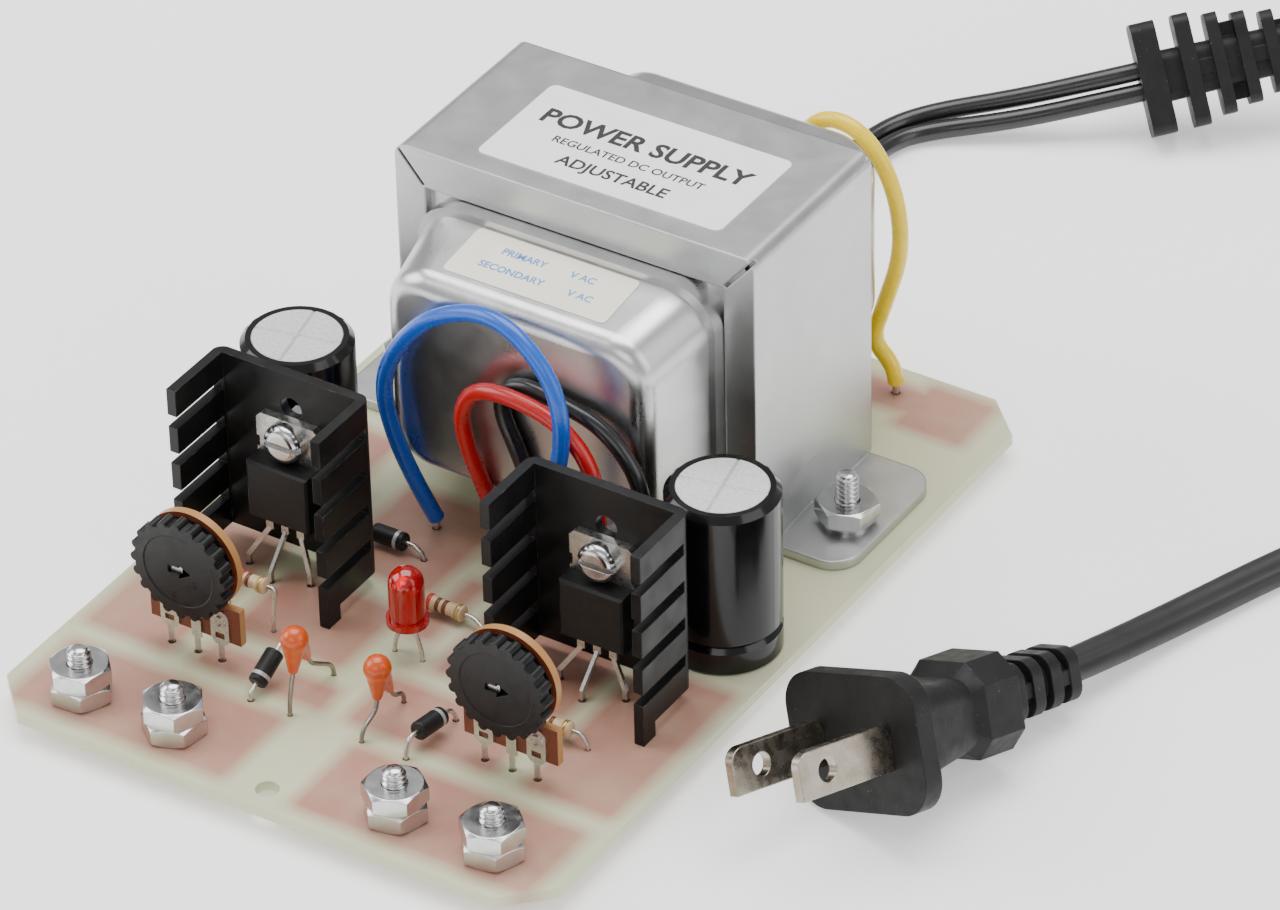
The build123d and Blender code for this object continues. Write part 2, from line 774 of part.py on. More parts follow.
with BuildPart() as regulator_nuts:
    for x, lift, feet in regulators:
        with BuildSketch(Plane.XZ.offset(-heatsink_back_y)):
            with Locations((x, tab_hole_z + lift)):
                RegularPolygon(sink_nut_half, 6, major_radius=False, rotation=10)
                Circle(sink_screw_radius + 0.05, mode=Mode.SUBTRACT)
        extrude(amount=-sink_nut_height)
keep(regulator_nuts, "regulator_nuts")

# ---- Trimmer potentiometers -----------------------------------------------------------

wheel_back_y = wheel_front_y + wheel_thick
base_back_y = trimmer_face_y + trimmer_base_thick
wiper_thick = 0.35
lip_radius = 3.2
lip_gap = 0.08

with BuildPart() as trimmer_bases:
    for side in (-1, 1):
        with BuildSketch(Plane.XZ.offset(-trimmer_face_y)):
            with Locations((side * channel_x, trimmer_axis_z)):
                Circle(trimmer_base_radius)
            with Locations((side * channel_x, trimmer_foot_bottom)):
                Rectangle(trimmer_foot_width, trimmer_foot_top - trimmer_foot_bottom, align=upright)
            with Locations((side * channel_x, trimmer_axis_z)):
                Circle(hub_radius + hub_clearance, mode=Mode.SUBTRACT)
        extrude(amount=-trimmer_base_thick)
keep(trimmer_bases, "trimmer_bases")

terminal_plate = 0.3
terminal_plate_width = 3.0
terminal_shoulder_z = 6.6
terminal_top = 12.3
terminal_slot_z = 8.2
terminal_leg_width = 0.8
middle_terminal_width = 1.6
middle_terminal_top = 9.4
rivet_z = 10.4
rivet_radius = 1.0
rivet_height = 0.55

with BuildPart() as trimmer_terminals:
    for side in (-1, 1):
        for x in (-terminal_leg_x, terminal_leg_x):
            with BuildSketch(Plane.XZ.offset(-trimmer_face_y)) as plate:
                with Locations((side * channel_x + x, terminal_shoulder_z)):
                    Rectangle(terminal_plate_width, terminal_top - terminal_shoulder_z, align=upright)
                fillet(plate.vertices().group_by(Axis.Z)[-1], 1.3)
                with Locations((side * channel_x + x, terminal_slot_z)):
                    Rectangle(1.5, 0.9, mode=Mode.SUBTRACT)
                with Locations((side * channel_x + x, board_bottom)):
                    Rectangle(terminal_leg_width, terminal_shoulder_z + 0.1 - board_bottom, align=upright)
            extrude(amount=terminal_plate)
            with BuildSketch(Plane.XZ.offset(-trimmer_face_y)):
                with Locations((side * channel_x + x, rivet_z)):
                    Circle(rivet_radius)
                    Circle(rivet_radius / 2, mode=Mode.SUBTRACT)
            extrude(amount=rivet_height)
        with BuildSketch(Plane.XZ.offset(-trimmer_face_y)):
            with Locations((side * channel_x + 0.2, board_bottom)):
                Rectangle(terminal_leg_width, middle_terminal_top - board_bottom, align=upright)
            with Locations((side * channel_x + 0.2, terminal_shoulder_z)):
                Rectangle(middle_terminal_width, middle_terminal_top - terminal_shoulder_z, align=upright)
        extrude(amount=terminal_plate)
keep(trimmer_terminals, "trimmer_terminals")

rim_inner = 5.6
face_dish = 0.12
slot_half = 0.6
slot_length = 2.2
slot_shift = -0.6
slot_head = 1.35
slot_head_x = 0.8
wiper_radius = 4.2
wiper_reach = 6.4
wiper_arm_width = 1.8
driver_slot_rise = 1.7
hub_lip_thick = 0.8

for name, side in (("left", -1), ("right", 1)):
    axis_x = side * channel_x
    with BuildPart() as thumbwheel:
        with BuildSketch(Plane.XZ.offset(-wheel_front_y)):
            with Locations((axis_x, trimmer_axis_z)):
                Circle(wheel_radius)
                with PolarLocations(wheel_radius, wheel_teeth):
                    Circle(wheel_tooth_radius)
        extrude(amount=-wheel_thick)
        with BuildSketch(Plane.XZ.offset(-wheel_front_y)):
            with Locations((axis_x, trimmer_axis_z)):
                Circle(rim_inner)
        extrude(amount=-face_dish, mode=Mode.SUBTRACT)
        with BuildSketch(Plane.XZ.offset(-wheel_front_y)):
            with Locations((axis_x + slot_shift, trimmer_axis_z)):
                Rectangle(slot_length, 2 * slot_half)
            with Locations((axis_x + slot_head_x, trimmer_axis_z)):
                RegularPolygon(slot_head, 3)
        extrude(amount=-(wheel_thick + wiper_thick), mode=Mode.SUBTRACT)
        with Locations(Location((axis_x, wheel_back_y, trimmer_axis_z), (-90, 0, 0))):
            Cylinder(hub_radius, base_back_y + lip_gap - wheel_back_y, align=standing)
        with Locations(Location((axis_x, base_back_y + lip_gap, trimmer_axis_z), (-90, 0, 0))):
            Cylinder(lip_radius, hub_lip_thick, align=standing)
    keep(thumbwheel, f"thumbwheel_{name}")
    with BuildPart() as wiper:
        with BuildSketch(Plane.XZ.offset(-wheel_back_y)):
            with Locations((axis_x, trimmer_axis_z)):
                Circle(wiper_radius)
                Rectangle(wiper_arm_width, wiper_reach, align=upright)
                Circle(hub_radius, mode=Mode.SUBTRACT)
        extrude(amount=-wiper_thick)
        with BuildSketch(Plane.XZ.offset(-wheel_back_y)):
            with Locations((axis_x + slot_shift, trimmer_axis_z)):
                Rectangle(slot_length - 0.2, 2 * slot_half - 0.2)
        extrude(amount=driver_slot_rise)
    keep(wiper, f"wiper_{name}")

# ---- Filter capacitors ------------------------------------------------------------------

seal_height = 1.6
sleeve_thick = 0.25
can_base = board_top + 0.3

with BuildPart() as one_sleeve:
    with BuildSketch(Plane.XZ):
        with BuildLine():
            Polyline(
                (6.4, capacitor_top - 0.15),
                (6.4, capacitor_top),
                (7.2, capacitor_top),
                (capacitor_radius, capacitor_top - 0.9),
                (capacitor_radius, 8.9),
                (capacitor_radius - 0.55, 8.2),
                (capacitor_radius, 7.5),
                (capacitor_radius, can_base),
                (capacitor_radius - 0.7, can_base),
                (capacitor_radius - 0.7, can_base + 0.2),
                (capacitor_radius - sleeve_thick, can_base + 0.2),
                (capacitor_radius - sleeve_thick, 7.4),
                (capacitor_radius - 0.55 - sleeve_thick, 8.2),
                (capacitor_radius - sleeve_thick, 9.0),
                (capacitor_radius - sleeve_thick, capacitor_top - 1.0),
                (7.1, capacitor_top - 0.15),
                close=True,
            )
        make_face()
    revolve(axis=Axis.Z)
with BuildPart() as capacitor_sleeves:
    with Locations(*[(x, y, 0) for x, y in capacitor_places]):
        add(one_sleeve.part)
keep(capacitor_sleeves, "capacitor_sleeves")

with BuildPart() as one_can:
    with BuildSketch(Plane.XZ):
        with BuildLine():
            Polyline(
                (0, can_base + seal_height + 0.2),
                (capacitor_radius - sleeve_thick, can_base + seal_height + 0.2),
                (capacitor_radius - sleeve_thick, 7.4),
                (capacitor_radius - 0.55 - sleeve_thick, 8.2),
                (capacitor_radius - sleeve_thick, 9.0),
                (capacitor_radius - sleeve_thick, capacitor_top - 1.0),
                (7.1, capacitor_top - 0.15),
                (0, capacitor_top - 0.15),
                close=True,
            )
        make_face()
    revolve(axis=Axis.Z)
with BuildPart() as capacitor_cans:
    with Locations(*[(x, y, 0) for x, y in capacitor_places]):
        add(one_can.part)
keep(capacitor_cans, "capacitor_cans")

with BuildPart() as capacitor_seals:
    with Locations(*[(x, y, can_base + 0.2) for x, y in capacitor_places]):
        Cylinder(capacitor_radius - sleeve_thick, seal_height, align=standing)
keep(capacitor_seals, "capacitor_seals")

with BuildPart() as capacitor_leads:
    for x, y in capacitor_places:
        for offset in (-capacitor_pitch / 2, capacitor_pitch / 2):
            with Locations((x + offset, y, board_bottom)):
                Cylinder(can_leg, can_base + 0.2 - board_bottom, align=standing)
keep(capacitor_leads, "capacitor_leads")

# ---- Tantalum capacitors, diodes, resistors and indicator --------------------------------

tantalums = [
    ((-6.45, -44.6, 15.4), (-6.45, -45.3, 10.3), (-6.45, -41.9, 10.7), left_tantalum_feet),
    ((5.05, -42.0, 13.4), (5.05, -42.4, 8.5), (5.05, -39.4, 8.1), right_tantalum_feet),
]

with BuildPart() as tantalum_bodies:
    for head, front_bud, rear_bud, feet in tantalums:
        with Locations(head):
            Sphere(2.1)
        for bud in (front_bud, rear_bud):
            toward = Vector(head) - Vector(bud)
            with BuildSketch(Plane(origin=bud, z_dir=toward)):
                Circle(0.75)
            with BuildSketch(Plane(origin=Vector(head), z_dir=toward)):
                Circle(2.05)
            loft()
keep(tantalum_bodies, "tantalum_bodies")

with BuildPart() as tantalum_leads:
    for head, front_bud, rear_bud, feet in tantalums:
        for bud, (foot_x, foot_y) in zip((front_bud, rear_bud), feet):
            outward = -0.5 if foot_y < bud[1] else 0.9
            under = Vector(bud) - (Vector(head) - Vector(bud)).normalized() * 0.15
            way = [
                tuple(under),
                (foot_x, bud[1] + outward, bud[2] - 1.6),
                (foot_x, foot_y, board_top + 1.7),
                (foot_x, foot_y, board_bottom),
            ]
            add(round_wire(way, 2 * thin_leg))
keep(tantalum_leads, "tantalum_leads")


def leaded(start, end, body_radius):
    """A plain cylindrical body between two points, its ends softened."""
    with BuildPart() as body:
        add(straight_rod(start, end, body_radius))
        fillet(body.edges().filter_by(GeomType.CIRCLE), 0.35)
    return body.part


diodes = [
    ((-12.85, -45.0, 5.8), (-12.85, -40.3, 8.1), left_diode_feet[0], left_diode_feet[1]),
    ((12.4, -43.9, 6.9), (12.9, -38.7, 6.5), right_diode_feet[0], right_diode_feet[1]),
]
for inner_x, y in rectifier_rows:
    side = -1 if inner_x < 0 else 1
    body_in = inner_x + side * 3.0
    body_out = body_in + side * 5.2
    last_foot = (inner_x + side * rectifier_reach, y)
    diodes += [((body_in, y, 5.8), (body_out, y, 5.8), (inner_x, y), last_foot)]

with BuildPart() as diode_bodies:
    for start, end, first_foot, last_foot in diodes:
        add(leaded(start, end, 1.35))
keep(diode_bodies, "diode_bodies")

resistors = [
    ((-25.5, -32.3, 11.3), (-19.6, -32.3, 11.3)),
    ((23.2, -32.4, 6.2), (29.4, -32.4, 6.2)),
    ((-3.6, -17.7, 5.8), (2.7, -17.7, 5.7)),
]

with BuildPart() as resistor_bodies:
    for start, end in resistors:
        add(leaded(start, end, 1.0))
        along = (Vector(end) - Vector(start)).normalized()
        for tip, inward in ((Vector(start), along), (Vector(end), along * -1)):
            add(leaded(tip, tip + inward * 1.7, 1.2))
keep(resistor_bodies, "resistor_bodies")


def bent_leg(body_end, outward, foot, diameter):
    """A wire that leaves a body end, turns down and stands in the board."""
    tip = Vector(body_end)
    knee = tip + outward
    shoulder_z = board_top + 0.35 * (knee.Z - board_top)
    way = [tuple(tip), tuple(knee), (*foot, shoulder_z), (*foot, board_bottom)]
    return round_wire(way, diameter)


with BuildPart() as diode_leads:
    for start, end, first_foot, last_foot in diodes:
        along = (Vector(end) - Vector(start)).normalized()
        add(bent_leg(start, along * -1.6, first_foot, 1.6 * diode_leg))
        add(bent_leg(end, along * 1.6, last_foot, 1.6 * diode_leg))
keep(diode_leads, "diode_leads")

with BuildPart() as resistor_leads:
    for (start, end), (first_foot, last_foot) in zip(resistors, resistor_feet):
        along = (Vector(end) - Vector(start)).normalized()
        add(bent_leg(start, along * -1.4, first_foot, 1.9 * thin_leg))
        add(bent_leg(end, along * 1.4, last_foot, 1.9 * thin_leg))
keep(resistor_leads, "resistor_leads")

lens_radius = 2.5
led_flange_radius = 2.95
led_pitch = 2.54
led_leg = 0.62

with BuildPart() as led_lens:
    with Locations((0, led_y, led_base)):
        Cylinder(led_flange_radius, 1.0, align=standing)
        Cylinder(lens_radius, led_top - lens_radius - led_base, align=standing)
    with Locations((0, led_y, led_top - lens_radius)):
        Sphere(lens_radius)
keep(led_lens, "led_lens")

with BuildPart() as led_leads:
    for side, (foot_x, foot_y) in zip((-1, 1), led_feet):
        start_x = side * led_pitch / 2
        way = [
            (start_x, led_y, led_base),
            (start_x, led_y, led_base - 1.6),
            (foot_x, foot_y, board_top + 1.3),
            (foot_x, foot_y, board_bottom),
        ]
        add(round_wire(way, led_leg))
keep(led_leads, "led_leads")

# ---- Mains lead ----------------------------------------------------------------------------

relief_origin = Vector(18.65, 142.0, 8.5)
relief_heading = Vector(0.756, 0.633, 0.166).normalized()
relief_side = Vector(0.483, -0.368, -0.796).normalized()
pair_half = 1.6
live_end = relief_origin - relief_side * pair_half
neutral_end = relief_origin + relief_side * pair_half

live_route = [
    (-14.9, 59.4, strip_z),
    (-15.2, 60.2, 15.6),
    (-15.1, 69.3, 18.6),
    (-14.9, 80.0, 10.8),
    (-14.9, 90.5, 1.55),
    (-14.4, 106.0, 1.5),
    (-13.6, 119.5, 1.6),
    (-9.0, 126.4, 2.6),
    (3.0, 132.8, 5.6),
    tuple(live_end - relief_heading * 4.0),
    tuple(live_end),
]
neutral_route = [
    (-9.9, 59.4, strip_z),
    (-10.3, 60.2, 15.2),
    (-11.0, 69.0, 18.0),
    (-11.8, 79.7, 10.4),
    (-11.9, 90.0, 1.5),
    (-11.4, 106.0, 1.55),
    (-10.6, 118.0, 1.5),
    (-7.2, 123.4, 1.6),
    (4.3, 130.1, 3.6),
    tuple(neutral_end - relief_heading * 4.0),
    tuple(neutral_end),
]
conductor_section = pi * conductor_diameter**2 / 4
live_conductor = round_wire(live_route, conductor_diameter)
neutral_conductor = round_wire(neutral_route, conductor_diameter)
with BuildPart() as mains_conductors:
    add(live_conductor)
    add(neutral_conductor)
keep(mains_conductors, "mains_conductors")
reported_tube("live conductor", live_conductor, conductor_section, live_route)
reported_tube("neutral conductor", neutral_conductor, conductor_section, neutral_route)

relief_length = 38.0
relief_plates = [(0, 3.7, 17.1), (6.5, 2.4, 17.1)]
relief_widths = [15.4, 13.9, 12.4, 11.0, 9.7, 8.6]
first_plate = 11.2
plate_pitch = 4.1
plate_thick = 1.9
for step, width in enumerate(relief_widths):
    relief_plates += [(first_plate + step * plate_pitch, plate_thick, width)]
relief_plates += [(relief_length - 2.3, 2.3, 7.6)]
relief_height = 7.9
relief_end_height = 5.6


def relief_plane(distance):
    """A plane across the strain relief at a distance behind its front face."""
    return Plane(origin=relief_origin + relief_heading * distance, x_dir=relief_side, z_dir=relief_heading)


with BuildPart() as strain_relief:
    with BuildSketch(relief_plane(0)):
        RectangleRounded(8.0, 5.4, 2.0)
    with BuildSketch(relief_plane(relief_length)):
        RectangleRounded(6.6, 4.4, 2.0)
    loft()
    for start, thick, width in relief_plates:
        height = relief_height - (relief_height - relief_end_height) * start / relief_length
        with BuildSketch(relief_plane(start)):
            RectangleRounded(width, height, 1.8)
        extrude(amount=thick)
    for step in range(len(relief_widths)):
        width = relief_widths[step] - 2.0
        with BuildSketch(relief_plane(first_plate - 2.4 + step * plate_pitch)):
            if step % 2:
                Rectangle(width, 1.6)
            else:
                Rectangle(2.2, relief_height - 2.4)
        extrude(amount=2.6)
keep(strain_relief, "strain_relief")

# ---- Mains cord: tail, stored coil and the length that runs to the plug ------------------

coil_x = 112.2
coil_y = 172.7
coil_inner = 26.0
coil_outer = 38.0
cord_low = cord_width / 2 + 0.05
cord_high = cord_low + cord_width + 0.1
coil_height = cord_high + cord_low
tie_thick = 0.7
tie_width = 4.0
tie_angle = 200


def flat_cord(points, upright):
    """A flat cord along straight runs joined by tangent arcs, on edge or lying flat."""
    with BuildPart() as piece:
        with BuildLine():
            path = FilletPolyline(*points, radius=bend_radii(points))
        level = Vector(0, 0, 1).cross(path % 0)
        across = (path % 0).cross(level) if upright else level
        with BuildSketch(Plane(origin=path @ 0, x_dir=across, z_dir=path % 0)):
            SlotOverall(cord_width, cord_thick)
        sweep(path=path)
    return piece.part


relief_end = relief_origin + relief_heading * relief_length
floor_heading = Vector(relief_heading.X, relief_heading.Y, 0).normalized()
tail_route = [
    tuple(relief_end),
    tuple(relief_end + floor_heading * 8 + Vector(0, 0, 1.35)),
    tuple(relief_end + floor_heading * 18 + Vector(0, 0, 0.2)),
    tuple(relief_end + floor_heading * 30 - Vector(0, 0, 5.8)),
    tuple(relief_end + floor_heading * 42 - Vector(0, 0, 11.3)),
    tuple(relief_end + floor_heading * 54 - Vector(0, 0, 11.85)),
]
plug_origin = Vector(67.25, -22.5, 12.5)
plug_turn = radians(-106)
plug_pitch = radians(11.5)
plug_roll = radians(24.4)
plug_heading = Vector(
    cos(plug_pitch) * cos(plug_turn),
    cos(plug_pitch) * sin(plug_turn),
    sin(plug_pitch),
)
plug_level = Vector(-sin(plug_turn), cos(plug_turn), 0)
plug_side = plug_level * cos(plug_roll) + plug_heading.cross(plug_level) * sin(plug_roll)
plug_length = 38.0
plug_end = plug_origin - plug_heading * plug_length
lead_route = [
    (148.85, 169.9, cord_high),
    (149.4, 154.0, cord_high - 1.5),
    (145.5, 131.0, cord_thick),
    (132.0, 112.0, 1.6),
    (114.0, 95.0, 1.6),
    (99.5, 75.0, 1.6),
    (89.9, 53.6, 1.6),
    (83.5, 35.5, 1.9),
    tuple(plug_end - plug_heading * 6.0 + Vector(0, 0, 0.3)),
    tuple(plug_end),
]

with BuildPart() as coil:
    with Locations((coil_x, coil_y, 0)):
        Cylinder(coil_outer, coil_height, align=standing)
        Cylinder(coil_inner, coil_height, align=standing, mode=Mode.SUBTRACT)

coil_middle = (coil_inner + coil_outer) / 2
tie_place = Location(
    (coil_x + coil_middle * cos(radians(tie_angle)), coil_y + coil_middle * sin(radians(tie_angle)), 0),
    (0, 0, tie_angle),
)
tie_inside = coil_outer - coil_inner + 0.6
tie_gap = 0.05
with BuildPart() as tie:
    with Locations(tie_place):
        Box(tie_inside + 2 * tie_thick, tie_width, coil_height + tie_thick, align=standing)

with BuildPart() as mains_cord_coil:
    add(coil.part)
    with Locations(tie_place):
        Box(2 * tie_inside, tie_width + 0.1, 2 * tie_thick, mode=Mode.SUBTRACT)
keep(mains_cord_coil, "mains_cord_coil")

with BuildPart() as cord_tie:
    add(tie.part)
    add(mains_cord_coil.part, mode=Mode.SUBTRACT)
    with Locations(tie_place):
        Box(tie_inside, tie_width + 1, 2 * coil_height, mode=Mode.SUBTRACT)
        Box(tie_inside, tie_width, tie_thick - tie_gap, align=standing)
        with Locations((0, 0, coil_height + tie_gap)):
            Box(tie_inside, tie_width, tie_thick - tie_gap, align=standing)
keep(cord_tie, "cord_tie")

with BuildPart() as mains_cord_tail:
    add(flat_cord(tail_route, True))
    with Locations((coil_x, coil_y, 0)):
        Cylinder(coil_outer + 0.02, 3 * coil_height, mode=Mode.SUBTRACT)
keep(mains_cord_tail, "mains_cord_tail")

cord_section = (cord_width - cord_thick) * cord_thick + pi * cord_thick**2 / 4
whole_lead = flat_cord(lead_route, False)
reported_tube("mains cord lead", whole_lead, cord_section, lead_route)
with BuildPart() as mains_cord_lead:
    add(whole_lead)
    with Locations((coil_x, coil_y, 0)):
        Cylinder(coil_outer + 0.02, 3 * coil_height, mode=Mode.SUBTRACT)
keep(mains_cord_lead, "mains_cord_lead")


def plug_plane(behind):
    """A plane across the plug at a distance behind its face."""
    return Plane(origin=plug_origin - plug_heading * behind, x_dir=plug_side, z_dir=plug_heading)


collar_front = 17.5
collar_back = 23.7
ring_width = 9.6
ring_height = 8.2
ring_thick = 1.95
ring_start = 25.3
ring_pitch = 3.55
rings = 4
with BuildPart() as plug_body:
    with BuildSketch(plug_plane(0)):
        RectangleRounded(24.8, 18.8, 5.0)
    extrude(amount=-3.0)
    with BuildSketch(plug_plane(3.0)):
        RectangleRounded(17.6, 13.2, 3.6)
    with BuildSketch(plug_plane(collar_front)):
        RectangleRounded(12.4, 9.6, 2.8)
    loft()
    with BuildSketch(plug_plane(collar_front - 2.6)):
        RectangleRounded(12.2, 9.4, 2.8)
    with BuildSketch(plug_plane(collar_front)) as collar:
        Rectangle(14.8, 13.4)
        chamfer(collar.vertices(), 3.0)
    loft()
    extrude(collar.sketch, amount=collar_front - collar_back)
    with BuildSketch(plug_plane(collar_back)):
        RectangleRounded(7.6, 6.0, 2.4)
    with BuildSketch(plug_plane(plug_length)):
        RectangleRounded(7.0, 4.8, 2.0)
    loft()
    for step in range(rings):
        start = ring_start + ring_pitch * step
        with BuildSketch(plug_plane(start)):
            RectangleRounded(ring_width - 0.2 * step, ring_height - 0.2 * step, 2.4)
        extrude(amount=-ring_thick)
    for step in range(rings):
        start = ring_start + ring_pitch * (step - 1) + ring_thick
        with BuildSketch(plug_plane(start - 0.1)):
            if step % 2:
                Rectangle(ring_width - 1.0, 2.0)
            else:
                Rectangle(2.4, ring_height - 1.0)
        extrude(amount=-(ring_pitch - ring_thick + 0.2))
keep(plug_body, "plug_body")

blade_half = 6.35
blade_length = 16.6
blade_width = 6.35
blade_thick = 1.5
blade_hole_reach = 11.7
with BuildPart() as plug_blades:
    for side in (-1, 1):
        blade_plane = Plane(
            origin=plug_origin + plug_side * (side * blade_half - blade_thick / 2),
            x_dir=plug_heading,
            z_dir=plug_side,
        )
        with BuildSketch(blade_plane) as blade:
            Rectangle(blade_length, blade_width, align=(Align.MIN, Align.CENTER))
            fillet(blade.vertices().sort_by(Axis.Y)[:2], 2.0)
            with Locations((blade_hole_reach, 0)):
                Circle(1.6, mode=Mode.SUBTRACT)
        extrude(amount=blade_thick)
keep(plug_blades, "plug_blades")
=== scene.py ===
import math

import bmesh
import bpy
from mathutils import Matrix, Vector


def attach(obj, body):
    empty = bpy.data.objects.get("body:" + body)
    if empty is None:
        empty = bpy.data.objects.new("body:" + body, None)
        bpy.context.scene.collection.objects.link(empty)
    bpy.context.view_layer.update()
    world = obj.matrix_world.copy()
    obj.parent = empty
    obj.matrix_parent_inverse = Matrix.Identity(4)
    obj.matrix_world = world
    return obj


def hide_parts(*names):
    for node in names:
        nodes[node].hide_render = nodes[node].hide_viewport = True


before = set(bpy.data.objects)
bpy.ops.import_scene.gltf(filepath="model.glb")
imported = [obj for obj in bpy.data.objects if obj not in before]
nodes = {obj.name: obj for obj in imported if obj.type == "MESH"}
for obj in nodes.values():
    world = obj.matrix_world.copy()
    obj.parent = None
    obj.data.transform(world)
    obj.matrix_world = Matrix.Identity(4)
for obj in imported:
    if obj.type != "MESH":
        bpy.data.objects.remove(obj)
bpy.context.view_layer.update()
MM = 0.001


def mm(*values):
    """A point or size given in millimetres, as a vector in metres."""
    return Vector(values) * MM


# ---- Materials -----------------------------------------------------------------

noise_roughness = 0.55
bevel_samples = 6


class Finish:
    """One procedural material: a Principled shader and helpers that feed it."""

    def __init__(self, name, colour, roughness, metallic=0.0):
        self.material = bpy.data.materials.new(name)
        self.material.use_nodes = True
        self.tree = self.material.node_tree
        self.shader = self.tree.nodes["Principled BSDF"]
        self.colour = (*colour, 1.0)
        self.shader.inputs["Base Color"].default_value = self.colour
        self.shader.inputs["Roughness"].default_value = roughness
        self.shader.inputs["Metallic"].default_value = metallic
        self.place = self.node("ShaderNodeTexCoord").outputs["Object"]
        self.colour_from = None
        self.normal_from = None

    def node(self, kind, **values):
        made = self.tree.nodes.new(kind)
        for key, value in values.items():
            setattr(made, key, value)
        return made

    def link(self, source, target):
        self.tree.links.new(source, target)

    def stretched(self, stretch):
        """The object's coordinates, scaled along each axis."""
        mapping = self.node("ShaderNodeMapping")
        mapping.inputs["Scale"].default_value = stretch
        self.link(self.place, mapping.inputs["Vector"])
        return mapping.outputs["Vector"]

    def noise(self, size_mm, detail=4.0, stretch=(1, 1, 1)):
        """Noise whose features are about size_mm across."""
        made = self.node("ShaderNodeTexNoise")
        made.inputs["Scale"].default_value = 1000.0 / size_mm
        made.inputs["Detail"].default_value = detail
        made.inputs["Roughness"].default_value = noise_roughness
        self.link(self.stretched(stretch), made.inputs["Vector"])
        return made.outputs["Fac"]

    def ramp(self, factor, stops):
        """A grey or colour ramp: stops are (place, colour)."""
        made = self.node("ShaderNodeValToRGB")
        for _ in stops[2:]:
            made.color_ramp.elements.new(0.5)
        for element, (place, colour) in zip(made.color_ramp.elements, stops):
            element.position = place
            element.color = (*colour, 1.0) if len(colour) == 3 else colour
        self.link(factor, made.inputs["Fac"])
        return made.outputs["Color"]

    def math(self, operation, first, second=0.0, third=None):
        made = self.node("ShaderNodeMath", operation=operation)
        for socket, value in zip(made.inputs, (first, second, third)):
            if isinstance(value, (int, float)):
                socket.default_value = value
            elif value is not None:
                self.link(value, socket)
        return made.outputs["Value"]

    def mix(self, factor, first, second):
        made = self.node("ShaderNodeMix", data_type="RGBA")
        for socket, value in zip((made.inputs[0], made.inputs[6], made.inputs[7]), (factor, first, second)):
            if isinstance(value, tuple):
                socket.default_value = (*value[:3], 1.0)
            elif isinstance(value, (int, float)):
                socket.default_value = value
            else:
                self.link(value, socket)
        return made.outputs[2]

    def base(self):
        return self.colour_from or self.colour

    def set_colour(self, source):
        self.colour_from = source
        self.link(source, self.shader.inputs["Base Color"])
        return self

    def tint(self, factor, colour):
        """Lay a second colour over the first where the factor is high."""
        return self.set_colour(self.mix(factor, self.base(), colour))

    def mottle(self, size_mm, amount):
        """Uneven lightness, by the given share of the colour."""
        dark = tuple(channel * (1 - amount) for channel in self.colour[:3])
        light = tuple(min(1.0, channel * (1 + amount)) for channel in self.colour[:3])
        shade = self.ramp(self.noise(size_mm, 5.0), [(0.3, dark), (0.7, light)])
        return self.set_colour(shade)

    def vary_roughness(self, size_mm, low, high, stretch=(1, 1, 1)):
        grey = self.ramp(self.noise(size_mm, 5.0, stretch), [(0.3, (low,) * 3), (0.7, (high,) * 3)])
        self.link(grey, self.shader.inputs["Roughness"])
        return self

    def bump(self, height, distance_mm, strength=1.0):
        made = self.node("ShaderNodeBump")
        made.inputs["Distance"].default_value = distance_mm * MM
        made.inputs["Strength"].default_value = strength
        self.link(height, made.inputs["Height"])
        if self.normal_from:
            self.link(self.normal_from, made.inputs["Normal"])
        self.normal_from = made.outputs["Normal"]
        self.link(self.normal_from, self.shader.inputs["Normal"])
        return self

    def soft_edges(self, radius_mm):
        """Shade the edges as though they were rounded."""
        made = self.node("ShaderNodeBevel", samples=bevel_samples)
        made.inputs["Radius"].default_value = radius_mm * MM
        self.normal_from = made.outputs["Normal"]
        self.link(self.normal_from, self.shader.inputs["Normal"])
        return self

    def edge_mask(self, radius_mm, sharpness=3.0):
        """High where two faces meet at an edge."""
        bevel = self.node("ShaderNodeBevel", samples=bevel_samples)
        bevel.inputs["Radius"].default_value = radius_mm * MM
        flat = self.node("ShaderNodeNewGeometry").outputs["Normal"]
        dot = self.node("ShaderNodeVectorMath", operation="DOT_PRODUCT")
        self.link(bevel.outputs["Normal"], dot.inputs[0])
        self.link(flat, dot.inputs[1])
        drop = self.math("SUBTRACT", 1.0, dot.outputs["Value"])
        return self.math("MULTIPLY", drop, sharpness)

    def axis(self, name):
        split = self.node("ShaderNodeSeparateXYZ")
        self.link(self.place, split.inputs[0])
        return split.outputs[name]

    def facing(self, name):
        """The surface normal's component along an axis."""
        split = self.node("ShaderNodeSeparateXYZ")
        self.link(self.node("ShaderNodeNewGeometry").outputs["Normal"], split.inputs[0])
        return split.outputs[name]

    def set(self, **values):
        for key, value in values.items():
            self.shader.inputs[key.replace("_", " ")].default_value = value
        return self


def soft_zone(finish, low, high, edge_mm):
    """1 inside a rectangle on the board, falling to 0 over edge_mm around it."""
    share = None
    for name, start, end in (("X", low[0], high[0]), ("Y", low[1], high[1])):
        middle = (start + end) / 2 * MM
        half = (end - start) / 2 * MM
        away = finish.math("ABSOLUTE", finish.math("SUBTRACT", finish.axis(name), middle))
        inside = finish.math("SUBTRACT", half, away)
        level = finish.math("MULTIPLY_ADD", inside, 1 / (edge_mm * MM), 0.5)
        level.node.use_clamp = True
        share = level if share is None else finish.math("MULTIPLY", share, level)
    return share


